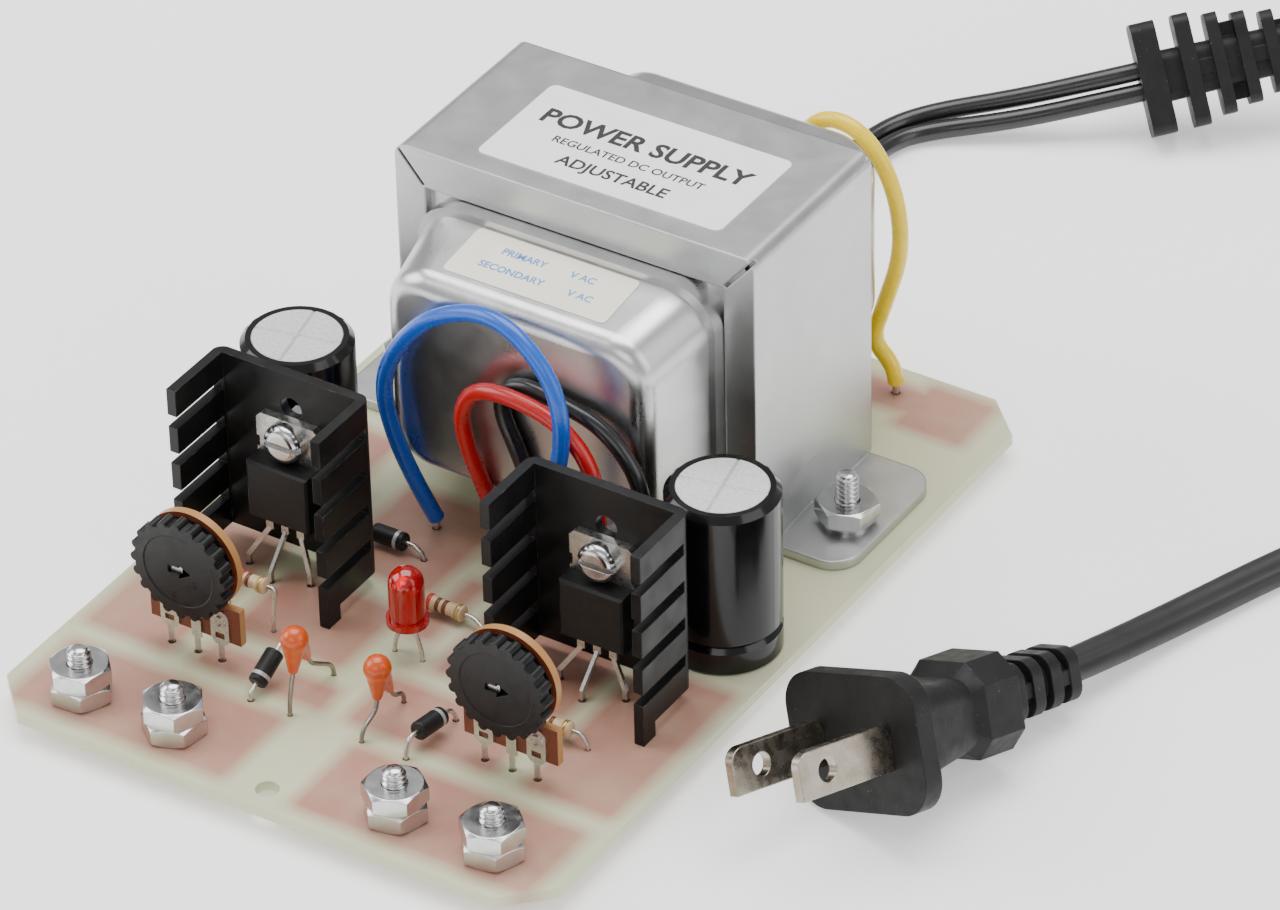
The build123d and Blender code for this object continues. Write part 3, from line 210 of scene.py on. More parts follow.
copper_zones = [
    ((-42, -63), (-6, -47)),
    ((4, -63), (42, -47)),
    ((-43, -44), (-28, -14)),
    ((-25, -44), (-3, -38)),
    ((0, -44), (24, -32)),
    ((-25, -35), (-6, -19)),
    ((4, -29), (26, -12)),
    ((-22, -15), (-5, 6)),
    ((28, -44), (43, -12)),
    ((-3, -24), (1, -8)),
    ((0, -6), (24, 9)),
    ((-43, 2), (-28, 14)),
    ((28, 52), (40, 64)),
    ((17, 55), (31, 62)),
    ((-22, 54), (-5, 63)),
    ((-41, 30), (-31, 58)),
]


def board_finish():
    """Glass-epoxy board, with the copper on its underside showing through as pink."""
    made = Finish("board_laminate", (0.60, 0.61, 0.41), 0.40)
    weave = made.noise(2.2, 3.0)
    made.set_colour(made.ramp(made.noise(30, 3.0), [(0.3, (0.54, 0.56, 0.35)), (0.7, (0.63, 0.63, 0.43))]))
    zones = None
    for low, high in copper_zones:
        zone = soft_zone(made, low, high, 2.8)
        zones = zone if zones is None else made.math("MAXIMUM", zones, zone)
    uneven = made.ramp(made.noise(9, 4.0), [(0.3, (0.78,) * 3), (0.7, (1.0,) * 3)])
    shown = made.math("MULTIPLY", zones, made.math("MULTIPLY", uneven, 0.92))
    made.tint(shown, (0.42, 0.165, 0.125))
    made.bump(weave, 0.02, 0.35)
    made.set(Coat_Weight=0.2, Coat_Roughness=0.22)
    return made.material


def zinc_finish():
    """Bright zinc-plated steel."""
    made = Finish("zinc_plating", (0.60, 0.60, 0.60), 0.2, 1.0)
    made.soft_edges(0.15)
    made.mottle(2.5, 0.10)
    made.vary_roughness(1.8, 0.14, 0.26)
    return made.bump(made.noise(0.8, 2.0), 0.01, 0.12).material


def galvanised_finish():
    """Satin galvanised sheet with faint rolling marks and scuffs."""
    made = Finish("galvanised_sheet", (0.56, 0.57, 0.56), 0.34, 1.0)
    made.soft_edges(0.45)
    greys = [(0.25, (0.50, 0.51, 0.50)), (0.75, (0.57, 0.58, 0.57))]
    made.set_colour(made.ramp(made.noise(14, 5.0), greys))
    scuffs = made.ramp(made.noise(1.6, 6.0, (1, 6, 1)), [(0.62, (0, 0, 0)), (0.74, (1, 1, 1))])
    made.tint(made.math("MULTIPLY", scuffs, 0.25), (0.85, 0.85, 0.85))
    specks = made.ramp(made.noise(0.7, 3.0), [(0.66, (0, 0, 0)), (0.78, (1, 1, 1))])
    made.tint(made.math("MULTIPLY", specks, 0.22), (0.34, 0.34, 0.33))
    made.vary_roughness(5, 0.34, 0.42)
    return made.bump(made.noise(1.1, 4.0, (1, 3, 1)), 0.02, 0.25).material


def bell_finish():
    """Bright drawn tinplate, streaked by the drawing die."""
    made = Finish("drawn_tinplate", (0.62, 0.62, 0.62), 0.26, 1.0)
    greys = [(0.3, (0.54, 0.54, 0.54)), (0.7, (0.70, 0.70, 0.70))]
    made.set_colour(made.ramp(made.noise(9, 4.0, (1, 0.4, 1)), greys))
    made.vary_roughness(6, 0.26, 0.36, (1, 0.4, 1))
    return made.bump(made.noise(7, 3.0, (1, 0.5, 1)), 0.08, 0.18).material


def lamination_finish():
    """The edges of varnished core sheets."""
    made = Finish("core_laminations", (0.16, 0.14, 0.13), 0.5, 0.6)
    sheets = made.node("ShaderNodeTexWave", bands_direction="Y")
    sheets.inputs["Scale"].default_value = 1000 / 3.4
    made.link(made.place, sheets.inputs["Vector"])
    made.mottle(4, 0.25)
    return made.bump(sheets.outputs["Fac"], 0.08, 0.7).material


def label_finish(name, colour):
    """Printed paper label with a faint satin face."""
    made = Finish(name, colour, 0.5)
    made.mottle(5, 0.03)
    return made.bump(made.noise(0.4, 3.0), 0.01, 0.3).material


def ink_finish(name, colour):
    made = Finish(name, colour, 0.6)
    made.mottle(0.6, 0.2)
    return made.bump(made.noise(0.25, 3.0), 0.005, 0.3).material


def wire_finish(name, colour):
    """Glossy PVC insulation, slightly uneven."""
    made = Finish(name, colour, 0.26)
    made.mottle(6, 0.08)
    made.vary_roughness(3, 0.2, 0.36)
    made.set(Coat_Weight=0.2, Coat_Roughness=0.12)
    return made.bump(made.noise(2.4, 3.0), 0.05, 0.16).material


def tinned_finish():
    """Tinned copper wire and solder."""
    made = Finish("tinned_metal", (0.60, 0.59, 0.55), 0.28, 1.0)
    made.mottle(1.5, 0.12)
    made.vary_roughness(0.8, 0.2, 0.42)
    return made.bump(made.noise(0.9, 3.0), 0.015, 0.18).material


def dull_lead_finish():
    """Oxidised steel component leads."""
    made = Finish("dull_lead", (0.30, 0.28, 0.25), 0.34, 1.0)
    made.mottle(1.5, 0.18)
    return made.bump(made.noise(0.9, 3.0), 0.015, 0.2).material


def anodised_finish():
    """Black anodised sheet, worn to bare metal along some edges."""
    made = Finish("black_anodised", (0.007, 0.007, 0.007), 0.34)
    made.soft_edges(0.2)
    made.mottle(6, 0.3)
    rubbed = made.ramp(made.noise(2.4, 5.0), [(0.56, (0, 0, 0)), (0.68, (1, 1, 1))])
    wear = made.math("MULTIPLY", made.edge_mask(0.16, 2.2), rubbed)
    wear.node.use_clamp = True
    made.tint(wear, (0.30, 0.29, 0.28))
    made.set(Specular_IOR_Level=0.28)
    made.vary_roughness(3, 0.28, 0.46)
    return made.bump(made.noise(0.35, 3.0), 0.015, 0.45).material


def epoxy_finish():
    """Moulded black epoxy of the component packages."""
    made = Finish("moulded_epoxy", (0.010, 0.010, 0.010), 0.42)
    made.set(Specular_IOR_Level=0.3)
    made.soft_edges(0.18)
    made.mottle(1.2, 0.25)
    return made.bump(made.noise(0.22, 4.0), 0.02, 0.5).material


def phenolic_finish():
    """Brown phenolic sheet whose punched edge shows its paper layers."""
    made = Finish("phenolic_sheet", (0.160, 0.034, 0.013), 0.36)
    edge = made.math("SUBTRACT", 1.0, made.math("ABSOLUTE", made.facing("Y")))
    edge = made.ramp(edge, [(0.25, (0, 0, 0)), (0.6, (1, 1, 1))])
    made.mottle(2.0, 0.2)
    made.tint(edge, (0.40, 0.20, 0.065))
    layers = made.noise(1.2, 3.0, (0.15, 6, 0.15))
    return made.bump(layers, 0.03, 0.5).material


def wheel_finish():
    """Moulded black wheel, satin with polished high spots."""
    made = Finish("moulded_wheel", (0.006, 0.006, 0.006), 0.30)
    made.set(Specular_IOR_Level=0.34)
    made.soft_edges(0.2)
    made.mottle(1.6, 0.3)
    made.vary_roughness(1.5, 0.26, 0.48)
    return made.bump(made.noise(0.3, 4.0), 0.02, 0.45).material


def contact_finish():
    made = Finish("contact_metal", (0.80, 0.78, 0.72), 0.22, 1.0)
    made.mottle(0.8, 0.12)
    return made.bump(made.noise(0.5, 3.0), 0.02, 0.4).material


def sleeve_finish():
    """Glossy shrunk sleeve, with faint ripples."""
    made = Finish("shrunk_sleeve", (0.004, 0.004, 0.004), 0.14)
    made.mottle(5, 0.4)
    made.vary_roughness(6, 0.10, 0.2)
    made.set(Specular_IOR_Level=0.42)
    return made.bump(made.noise(4.0, 2.0, (1, 1, 0.4)), 0.08, 0.22).material


def can_finish():
    made = Finish("can_aluminium", (0.72, 0.72, 0.71), 0.36, 0.85)
    made.soft_edges(0.12)
    made.mottle(2.2, 0.06)
    return made.bump(made.noise(0.6, 4.0), 0.02, 0.4).material


def gold_ink_finish():
    made = Finish("gold_print", (0.60, 0.42, 0.16), 0.4, 0.6)
    made.mottle(0.4, 0.3)
    return made.bump(made.noise(0.2, 2.0), 0.005, 0.3).material


def tantalum_finish():
    """Dipped orange epoxy."""
    made = Finish("dipped_epoxy", (0.56, 0.070, 0.003), 0.26)
    made.mottle(1.5, 0.12)
    made.set(Coat_Weight=0.15, Coat_Roughness=0.1)
    return made.bump(made.noise(1.2, 2.0), 0.06, 0.4).material


def resistor_finish():
    """Beige resistor coating."""
    made = Finish("resistor_coating", (0.62, 0.43, 0.24), 0.36)
    made.mottle(0.9, 0.1)
    made.set(Coat_Weight=0.3, Coat_Roughness=0.2)
    return made.bump(made.noise(0.5, 3.0), 0.03, 0.4).material


def band_finish(name, colour, metallic=0.0):
    made = Finish(name, colour, 0.35, metallic)
    made.mottle(0.5, 0.15)
    return made.bump(made.noise(0.4, 2.0), 0.01, 0.4).material


def lens_finish():
    """Clear epoxy tinted red."""
    made = Finish("red_lens", (0.66, 0.003, 0.002), 0.08)
    made.vary_roughness(3, 0.05, 0.14)
    made.set(Transmission_Weight=0.62, IOR=1.5, Coat_Weight=0.5, Coat_Roughness=0.05)
    made.set(Subsurface_Weight=0.15, Subsurface_Radius=(0.004, 0.0006, 0.0004))
    return made.bump(made.noise(2.5, 2.0), 0.03, 0.2).material


def jacket_finish():
    """Matt black cord jacket and its moulded ends."""
    made = Finish("moulded_jacket", (0.009, 0.009, 0.009), 0.5)
    made.set(Specular_IOR_Level=0.28)
    made.soft_edges(0.3)
    made.mottle(3, 0.25)
    dust = made.ramp(made.noise(0.45, 2.0), [(0.70, (0, 0, 0)), (0.76, (1, 1, 1))])
    made.tint(made.math("MULTIPLY", dust, 0.35), (0.16, 0.15, 0.14))
    made.vary_roughness(2, 0.42, 0.6)
    return made.bump(made.noise(0.35, 4.0), 0.03, 0.5).material


def ridged_jacket_finish():
    """Cord jacket with the fine ridges of its extrusion."""
    made = Finish("extruded_jacket", (0.010, 0.010, 0.010), 0.36)
    made.mottle(4, 0.25)
    made.vary_roughness(3, 0.38, 0.55)
    return made.bump(made.noise(0.5, 3.0), 0.03, 0.4).material


def nickel_finish():
    """Worn nickel plating on brass blades."""
    made = Finish("worn_nickel", (0.44, 0.39, 0.31), 0.27, 1.0)
    made.soft_edges(0.25)
    made.set_colour(made.ramp(made.noise(3.5, 5.0), [(0.3, (0.35, 0.30, 0.23)), (0.7, (0.53, 0.48, 0.41))]))
    made.vary_roughness(1.6, 0.18, 0.36)
    return made.bump(made.noise(1.8, 4.0), 0.01, 0.15).material


def nylon_finish():
    made = Finish("bobbin_nylon", (0.74, 0.71, 0.62), 0.5)
    made.mottle(3, 0.06)
    return made.bump(made.noise(0.6, 3.0), 0.02, 0.4).material


def winding_finish():
    """Taped coils: amber film over copper."""
    made = Finish("taped_winding", (0.42, 0.20, 0.05), 0.3)
    turns = made.node("ShaderNodeTexWave", bands_direction="Z")
    turns.inputs["Scale"].default_value = 1000 / 2.6
    made.link(made.place, turns.inputs["Vector"])
    made.mottle(2, 0.2)
    return made.bump(turns.outputs["Fac"], 0.1, 0.5).material


def track_finish():
    made = Finish("resistive_track", (0.010, 0.010, 0.010), 0.5)
    made.mottle(0.6, 0.3)
    return made.bump(made.noise(0.2, 3.0), 0.01, 0.4).material


def floor_finish():
    made = Finish("studio_floor", (0.97, 0.97, 0.97), 0.6)
    made.mottle(60, 0.01)
    made.set(Emission_Color=(1.0, 1.0, 1.0, 1.0), Emission_Strength=0.45)
    return made.material


board = board_finish()
zinc = zinc_finish()
galvanised = galvanised_finish()
tinplate = bell_finish()
tinned = tinned_finish()
anodised = anodised_finish()
epoxy = epoxy_finish()
jacket = jacket_finish()
ridged_jacket = ridged_jacket_finish()
contact = contact_finish()
rubber = band_finish("seal_rubber", (0.02, 0.02, 0.02))

node_materials = {
    board: ["circuit_board"],
    zinc: [
        "terminal_lower_nuts",
        "transformer_nuts",
        "transformer_lock_washers",
        "regulator_screws",
        "regulator_nuts",
    ],
    galvanised: ["transformer_frame"],
    tinplate: ["front_bell", "rear_bell"],
    lamination_finish(): ["transformer_core"],
    nylon_finish(): ["bobbin"],
    winding_finish(): ["primary_winding", "secondary_winding"],
    label_finish("white_label", (0.95, 0.95, 0.93)): ["name_label"],
    label_finish("cream_label", (0.90, 0.86, 0.73)): ["rating_label"],
    tinned: [
        "solder_joints",
        "lead_ends",
        "regulator_tabs",
        "regulator_leads",
        "trimmer_terminals",
        "capacitor_leads",
        "diode_leads",
        "resistor_leads",
        "led_leads",
    ],
    dull_lead_finish(): ["tantalum_leads"],
    anodised: ["heatsink_left", "heatsink_right"],
    epoxy: ["regulator_bodies", "diode_bodies"],
    phenolic_finish(): ["trimmer_bases"],
    wheel_finish(): ["thumbwheel_left", "thumbwheel_right"],
    contact: ["wiper_left", "wiper_right"],
    sleeve_finish(): ["capacitor_sleeves"],
    can_finish(): ["capacitor_cans"],
    rubber: ["capacitor_seals", "lead_bushings"],
    lens_finish(): ["led_lens"],
    jacket: ["strain_relief", "plug_body", "cord_tie"],
    nickel_finish(): ["plug_blades"],
}
node_materials[zinc] += [f"terminal_nut_{number}" for number in (1, 2, 3, 4)]
for material, names in node_materials.items():
    for name in names:
        nodes[name].data.materials.clear()
        nodes[name].data.materials.append(material)

# ---- Mesh helpers ----------------------------------------------------------------


def finished(mesh_or_curve, name, material, body="supply"):
    """Put new data in the scene as a piece that rides on a body."""
    piece = bpy.data.objects.new(name, mesh_or_curve)
    bpy.context.scene.collection.objects.link(piece)
    piece.data.materials.append(material)
    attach(piece, body)
    return piece


def mesh_from(name, vertices, faces, smooth=True):
    mesh = bpy.data.meshes.new(name)
    mesh.from_pydata([tuple(v) for v in vertices], [], faces)
    mesh.validate()
    for face in mesh.polygons:
        face.use_smooth = smooth
    return mesh


def turned(name, profile, start, along):
    """A closed turned shape: profile gives (distance along, radius) pairs, in millimetres."""
    steps = 40
    direction = Vector(along).normalized()
    turn = direction.to_track_quat("Z", "Y").to_matrix()
    vertices = []
    for distance, radius in profile:
        for step in range(steps):
            angle = 2 * math.pi * step / steps
            around = mm(radius * math.cos(angle), radius * math.sin(angle), distance)
            vertices.append(mm(*start) + turn @ around)
    faces = [list(range(steps - 1, -1, -1))]
    for row in range(len(profile) - 1):
        for step in range(steps):
            after = (step + 1) % steps
            low = row * steps
            high = low + steps
            faces.append([low + step, low + after, high + after, high + step])
    faces.append([(len(profile) - 1) * steps + step for step in range(steps)])
    return mesh_from(name, vertices, faces)


def smooth_by_angle(piece, degrees=35):
    """Flat shading across the sharp edges only."""
    mesh = bmesh.new()
    mesh.from_mesh(piece.data)
    for edge in mesh.edges:
        if len(edge.link_faces) == 2 and edge.calc_face_angle(0) > math.radians(degrees):
            edge.smooth = False
    mesh.to_mesh(piece.data)
    mesh.free()
    return piece


# ---- Cords and leads ---------------------------------------------------------------


def curve_piece(name, points, material):
    """A smooth NURBS line that has the route's points as its controls; its section is in mm."""
    curve = bpy.data.curves.new(name, "CURVE")
    curve.dimensions = "3D"
    curve.resolution_u = 10
    curve.use_fill_caps = True
    spline = curve.splines.new("NURBS")
    spline.points.add(len(points) - 1)
    for control, point in zip(spline.points, points):
        control.co = (*mm(*point), 1.0)
        control.radius = MM
    spline.order_u = 3
    spline.use_endpoint_u = True
    return finished(curve, name, material)


def round_lead(name, points, diameter, material, node):
    """A round insulated wire that stands for a CAD node."""
    piece = curve_piece(name, points, material)
    piece.data.bevel_depth = diameter / 2
    piece.data.bevel_resolution = 6
    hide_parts(node)
    return piece


board_top = 3.97
strip_z = board_top + 1.8
lead_diameter = 2.4
conductor_diameter = 2.9
lead_end_z = 14.38
rear_exit_y = 49.0

blue_route = [
    (-13.05, -1.0, strip_z),
    (-14.2, -2.9, 11.0),
    (-17.3, -4.2, 20.0),
    (-19.0, -4.4, 28.5),
    (-15.2, -4.9, 37.0),
    (-8.6, -5.4, 44.2),
    (1.6, -6.4, 48.4),
    (10.8, -8.2, 43.9),
    (14.2, -9.2, 36.0),
    (12.7, -9.7, 26.0),
    (12.3, -9.7, 16.5),
    (12.8, -6.6, 7.8),
    (13.1, 2.0, 5.9),
    (13.1, 8.2, 8.6),
    (13.1, 8.2, lead_end_z),
]
red_route = [
    (-1.2, -1.0, strip_z),
    (-2.2, -1.9, 9.5),
    (-3.1, -3.4, 16.0),
    (-4.9, -4.7, 23.2),
    (-5.5, -5.1, 29.2),
    (-2.1, -6.2, 34.7),
    (4.7, -6.6, 35.6),
    (11.9, -6.7, 34.0),
    (17.3, -7.3, 29.0),
    (18.8, -8.3, 21.0),
    (17.9, -8.4, 13.0),
    (17.2, -4.4, 7.4),
    (16.9, 2.0, 6.3),
    (16.9, 8.2, 8.6),
    (16.9, 8.2, lead_end_z),
]
black_route = [
    (6.4, -1.0, strip_z),
    (5.6, -2.4, 13.0),
    (3.6, -3.8, 23.0),
    (-0.5, -3.6, 31.6),
    (2.7, -3.5, 35.9),
    (9.9, -3.7, 35.1),
    (17.3, -4.0, 33.6),
    (23.4, -4.7, 27.4),
    (24.7, -6.2, 19.2),
    (23.4, -6.9, 12.0),
    (21.3, -4.0, 7.1),
    (20.6, 2.0, 6.1),
    (20.6, 8.2, 8.6),
    (20.6, 8.2, lead_end_z),
]
yellow_route = [
    (10.0, rear_exit_y, lead_end_z),
    (10.0, rear_exit_y + 0.1, 8.0),
    (9.6, 56.5, 6.0),
    (8.4, 61.6, 9.6),
    (6.7, 62.4, 18.6),
    (5.9, 62.2, 28.6),
    (6.9, 61.8, 38.5),
    (11.9, 61.4, 45.6),
    (18.9, 61.2, 45.0),
    (24.0, 61.0, 37.4),
    (25.4, 60.7, 27.6),
    (22.6, 60.3, 17.6),
    (20.7, 60.0, 11.3),
    (24.9, 59.4, 8.4),
    (25.05, 59.4, strip_z),
]
far_yellow_route = [
    (2.0, rear_exit_y, lead_end_z),
    (2.0, rear_exit_y + 0.1, 8.0),
    (-0.4, 56.4, 6.2),
    (-4.9, 61.2, 8.6),
    (-7.4, 62.2, 15.6),
    (-5.9, 62.0, 23.4),
    (-1.4, 61.7, 26.4),
    (1.6, 61.2, 21.4),
    (1.3, 60.3, 13.0),
    (0.5, 59.4, strip_z),
]
relief_origin = Vector((18.65, 142.0, 8.5))
relief_heading = Vector((0.756, 0.633, 0.166)).normalized()
relief_side = Vector((0.483, -0.368, -0.796)).normalized()
relief_length = 38.0
pair_half = 1.6
live_end = relief_origin - relief_side * pair_half
neutral_end = relief_origin + relief_side * pair_half
live_route = [
    (-14.9, 59.4, strip_z),
    (-15.2, 60.2, 15.6),
    (-15.1, 69.3, 18.6),
    (-14.9, 80.0, 10.8),
    (-14.9, 90.5, 1.55),
    (-14.4, 106.0, 1.5),
    (-13.6, 119.5, 1.6),
    (-9.0, 126.4, 2.6),
    (3.0, 132.8, 5.6),
    tuple(live_end - relief_heading * 4.0),
    tuple(live_end),
]
neutral_route = [
    (-9.9, 59.4, strip_z),
    (-10.3, 60.2, 15.2),
    (-11.0, 69.0, 18.0),
    (-11.8, 79.7, 10.4),
    (-11.9, 90.0, 1.5),
    (-11.4, 106.0, 1.55),
    (-10.6, 118.0, 1.5),
    (-7.2, 123.4, 1.6),
    (4.3, 130.1, 3.6),
    tuple(neutral_end - relief_heading * 4.0),
    tuple(neutral_end),
]

wire_black = wire_finish("black_wire", (0.010, 0.010, 0.011))
wire_blue = wire_finish("blue_wire", (0.006, 0.095, 0.52))
wire_red = wire_finish("red_wire", (0.50, 0.008, 0.008))
wire_yellow = wire_finish("yellow_wire", (0.90, 0.63, 0.006))
leads = [
    ("blue_wire", blue_route, wire_blue, "wire_blue", "blue_lead", 0.120),
    ("red_wire", red_route, wire_red, "wire_red", "red_lead", 0.092),
    ("black_wire", black_route, wire_black, "wire_black", "black_lead", 0.094),
    ("yellow_wire", yellow_route, wire_yellow, "wire_yellow", "yellow_lead", 0.105),
    ("far_yellow_wire", far_yellow_route, wire_yellow, "wire_yellow", "far_yellow_lead", 0.060),
]
for name, route, material, slot, node, length in leads:
    lead = round_lead(name, route, lead_diameter, material, node)
for name, route in (("live_conductor", live_route), ("neutral_conductor", neutral_route)):
    conductor = round_lead(name, route, conductor_diameter, wire_black, "mains_conductors")

cord_width = 5.8
cord_thick = 2.9
coil_centre = (112.2, 172.7)
cord_low = cord_width / 2 + 0.05
cord_high = cord_low + cord_width + 0.1
outer_turn = 36.5
turn_pitch = 3.0
points_per_turn = 16
start_degrees = 129.94
coil_start = math.radians(start_degrees)
coil_turns = 7 + start_degrees / 360
jog_share = 0.15
layer_turns = 3.0
climb_half = 0.12


def eased(share):
    share = max(0.0, min(1.0, share))
    return share * share * (3 - 2 * share)


def coil_point(turns):
    """A point on the stored coil: inwards on the lower layer, then back out on the upper one."""
    inward = min(turns, coil_turns - turns)
    whole = math.floor(inward)
    step = whole + eased((inward - whole - 1 + jog_share) / jog_share)
    radius = outer_turn - turn_pitch * min(step, layer_turns)
    angle = coil_start - 2 * math.pi * turns
    climb = eased((turns - coil_turns / 2 + climb_half) / (2 * climb_half))
    height = cord_low + (cord_high - cord_low) * climb
    return (coil_centre[0] + radius * math.cos(angle), coil_centre[1] + radius * math.sin(angle), height)


relief_end = relief_origin + relief_heading * relief_length
floor_heading = Vector((relief_heading.x, relief_heading.y, 0)).normalized()
tail_route = [
    tuple(relief_end),
    tuple(relief_end + floor_heading * 8 + Vector((0, 0, 1.35))),
    tuple(relief_end + floor_heading * 18 + Vector((0, 0, 0.2))),
    tuple(relief_end + floor_heading * 30 - Vector((0, 0, 5.8))),
    tuple(relief_end + floor_heading * 42 - Vector((0, 0, 11.3))),
    tuple(relief_end + floor_heading * 54 - Vector((0, 0, 11.85))),
]
plug_origin = Vector((67.25, -22.5, 12.5))
plug_turn = math.radians(-106)
plug_pitch = math.radians(11.5)
plug_heading = Vector((
    math.cos(plug_pitch) * math.cos(plug_turn),
    math.cos(plug_pitch) * math.sin(plug_turn),
    math.sin(plug_pitch),
))
plug_length = 38.0
plug_end = plug_origin - plug_heading * plug_length
lead_route = [
    (148.85, 169.9, cord_high),
    (149.4, 154.0, cord_high - 1.5),
    (145.5, 131.0, cord_thick),
    (132.0, 112.0, 1.6),
    (114.0, 95.0, 1.6),
    (99.5, 75.0, 1.6),
    (89.9, 53.6, 1.6),
    (83.5, 35.5, 1.9),
    tuple(plug_end - plug_heading * 6.0 + Vector((0, 0, 0.3))),
    tuple(plug_end),
]
coil_steps = round(coil_turns * points_per_turn)
coil_route = [coil_point(coil_turns * step / coil_steps) for step in range(1, coil_steps)]
cord_route = tail_route + coil_route + lead_route


def cord_profile():
    """The section of the two-conductor cord: two rounds joined by a web, with ridges along it."""
    curve = bpy.data.curves.new("cord_section", "CURVE")
    curve.dimensions = "2D"
    spline = curve.splines.new("POLY")
    half = cord_thick / 2
    ridge_height = 0.03
    web_half = 0.55
    arc_steps = 16
    outline = []
    for side in (1, -1):
        for step in range(arc_steps + 1):
            angle = math.radians(-90 + 180 * step / arc_steps)
            ridge = ridge_height * (1 - step % 2)
            radius = half - ridge_height + ridge
            outline.append((side * (half + radius * math.cos(angle)), side * radius * math.sin(angle)))
        outline.append((side * web_half, side * half * 0.93))
        outline.append((0.0, side * half * 0.80))
        outline.append((-side * web_half, side * half * 0.93))
    spline.points.add(len(outline) - 1)
    for point, (across, up) in zip(spline.points, outline):
        point.co = (across, up, 0, 1)
    spline.use_cyclic_u = True
    return bpy.data.objects.new("cord_section", curve)


main_cord = curve_piece("mains_cord", cord_route, ridged_jacket)
main_cord.data.bevel_mode = "OBJECT"
main_cord.data.bevel_object = cord_profile()
main_cord.data.twist_mode = "Z_UP"
main_cord.data.resolution_u = 6
on_edge = math.radians(90)
relief_tilt = math.radians(52.7)
controls = main_cord.data.splines[0].points
first_lead = len(tail_route) + len(coil_route)
for index, control in enumerate(controls):
    if index < len(tail_route):
        control.tilt = relief_tilt + (on_edge - relief_tilt) * eased(index / 5)
    elif index < first_lead:
        control.tilt = on_edge
    else:
        control.tilt = on_edge * (1 - eased((index - first_lead) / 3))
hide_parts("mains_cord_tail", "mains_cord_coil", "mains_cord_lead")

# ---- Screws with real threads ------------------------------------------------------

screw_radius = 1.75
thread_root = 1.38
thread_pitch = 0.79
head_radius = 3.45
head_height = 2.4


def threaded_stud(name, x, y, plain_top, top):
    """A slotted pan-head screw, head down, whose thread thins a little above plain_top."""
    head = [(0.0, 2.3), (0.12, 2.9), (0.5, 3.3), (0.95, head_radius)]
    head += [(head_height, head_radius), (head_height, 1.5)]
    piece = finished(turned(name, head, (x, y, 0), (0, 0, 1)), name, zinc)
    around = 36
    per_turn = 8
    start = head_height - 0.4
    rows = int((top - start) / thread_pitch * per_turn)
    vertices = []
    for row in range(rows + 1):
        height = start + (top - start) * row / rows
        runout = min(1.0, (top - height) / 0.5)
        for step in range(around):
            phase = ((height - start) / thread_pitch + step / around) % 1.0
            crest = 1 - abs(2 * phase - 1)
            crest = eased(min(1.0, crest * 1.25))
            radius = thread_root + (screw_radius - thread_root) * crest * runout
            radius -= 0.25 * (1 - runout) + 0.12 * eased((height - plain_top) / 0.6)
            angle = 2 * math.pi * step / around
            vertices.append(mm(x + radius * math.cos(angle), y + radius * math.sin(angle), height))
    faces = []
    for row in range(rows):
        for step in range(around):
            after = (step + 1) % around
            low = row * around
            faces.append([low + step, low + after, low + around + after, low + around + step])
    faces.append([rows * around + step for step in range(around)])
    faces.append(list(range(around - 1, -1, -1)))
    thread = finished(mesh_from(f"{name}_thread", vertices, faces), f"{name}_thread", zinc)
    cutter = bpy.data.objects.new("slot_cutter", bpy.data.meshes.new("slot_cutter"))
    shape = bmesh.new()
    bmesh.ops.create_cube(shape, size=1.0)
    bmesh.ops.scale(shape, vec=mm(7.4, 1.0, 1.8), verts=shape.verts)
    bmesh.ops.translate(shape, vec=mm(x, y, 0), verts=shape.verts)
    shape.to_mesh(cutter.data)
    shape.free()
    bpy.context.scene.collection.objects.link(cutter)
    cut = piece.modifiers.new("slot", "BOOLEAN")
    cut.object = cutter
    cut.operation = "DIFFERENCE"
    applied = bpy.data.meshes.new_from_object(piece.evaluated_get(bpy.context.evaluated_depsgraph_get()))
    piece.modifiers.clear()
    piece.data = applied
    bpy.data.objects.remove(cutter)
    smooth_by_angle(piece)
    smooth_by_angle(thread, 80)
    return piece, thread


terminal_x = (-33.02, -17.78, 17.78, 33.02)
terminal_y = -57.2
terminal_plain_top = 9.68
terminal_tip = 11.83
transformer_screw_y = 27.7
transformer_plain_top = 9.15
transformer_tip = 13.5
for number, x in enumerate(terminal_x, start=1):
    stud = threaded_stud(f"terminal_screw_{number}", x, terminal_y, terminal_plain_top, terminal_tip)
    for piece in stud:
        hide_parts("terminal_screws")
for side, x in (("left", -36.0), ("right", 36.0)):
    name = f"transformer_screw_{side}"
    for piece in threaded_stud(name, x, transformer_screw_y, transformer_plain_top, transformer_tip):
        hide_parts("transformer_screws")

# ---- Small components ----------------------------------------------------------------

resistor_bodies = [
    ((-25.5, -32.3, 11.3), (-19.6, -32.3, 11.3)),
    ((23.2, -32.4, 6.2), (29.4, -32.4, 6.2)),
    ((-3.6, -17.7, 5.8), (2.7, -17.7, 5.7)),
]
band_brown = band_finish("brown_band", (0.16, 0.05, 0.02))
band_red = band_finish("red_band", (0.55, 0.03, 0.02))
band_gold = band_finish("gold_band", (0.55, 0.38, 0.13), 0.7)
band_silver = band_finish("silver_band", (0.40, 0.40, 0.39), 0.4)
resistor_coat = resistor_finish()
band_width = 0.62


def resistor_radius(share):
    """The coated body bulges over its two end caps."""
    from_end = min(share, 1 - share)
    if from_end < 0.05:
        return 0.55 + 0.60 * math.sin(math.pi / 2 * from_end / 0.05)
    if from_end < 0.20:
        return 1.18
    return 0.98 + 0.20 * (1 - eased((from_end - 0.20) / 0.08))


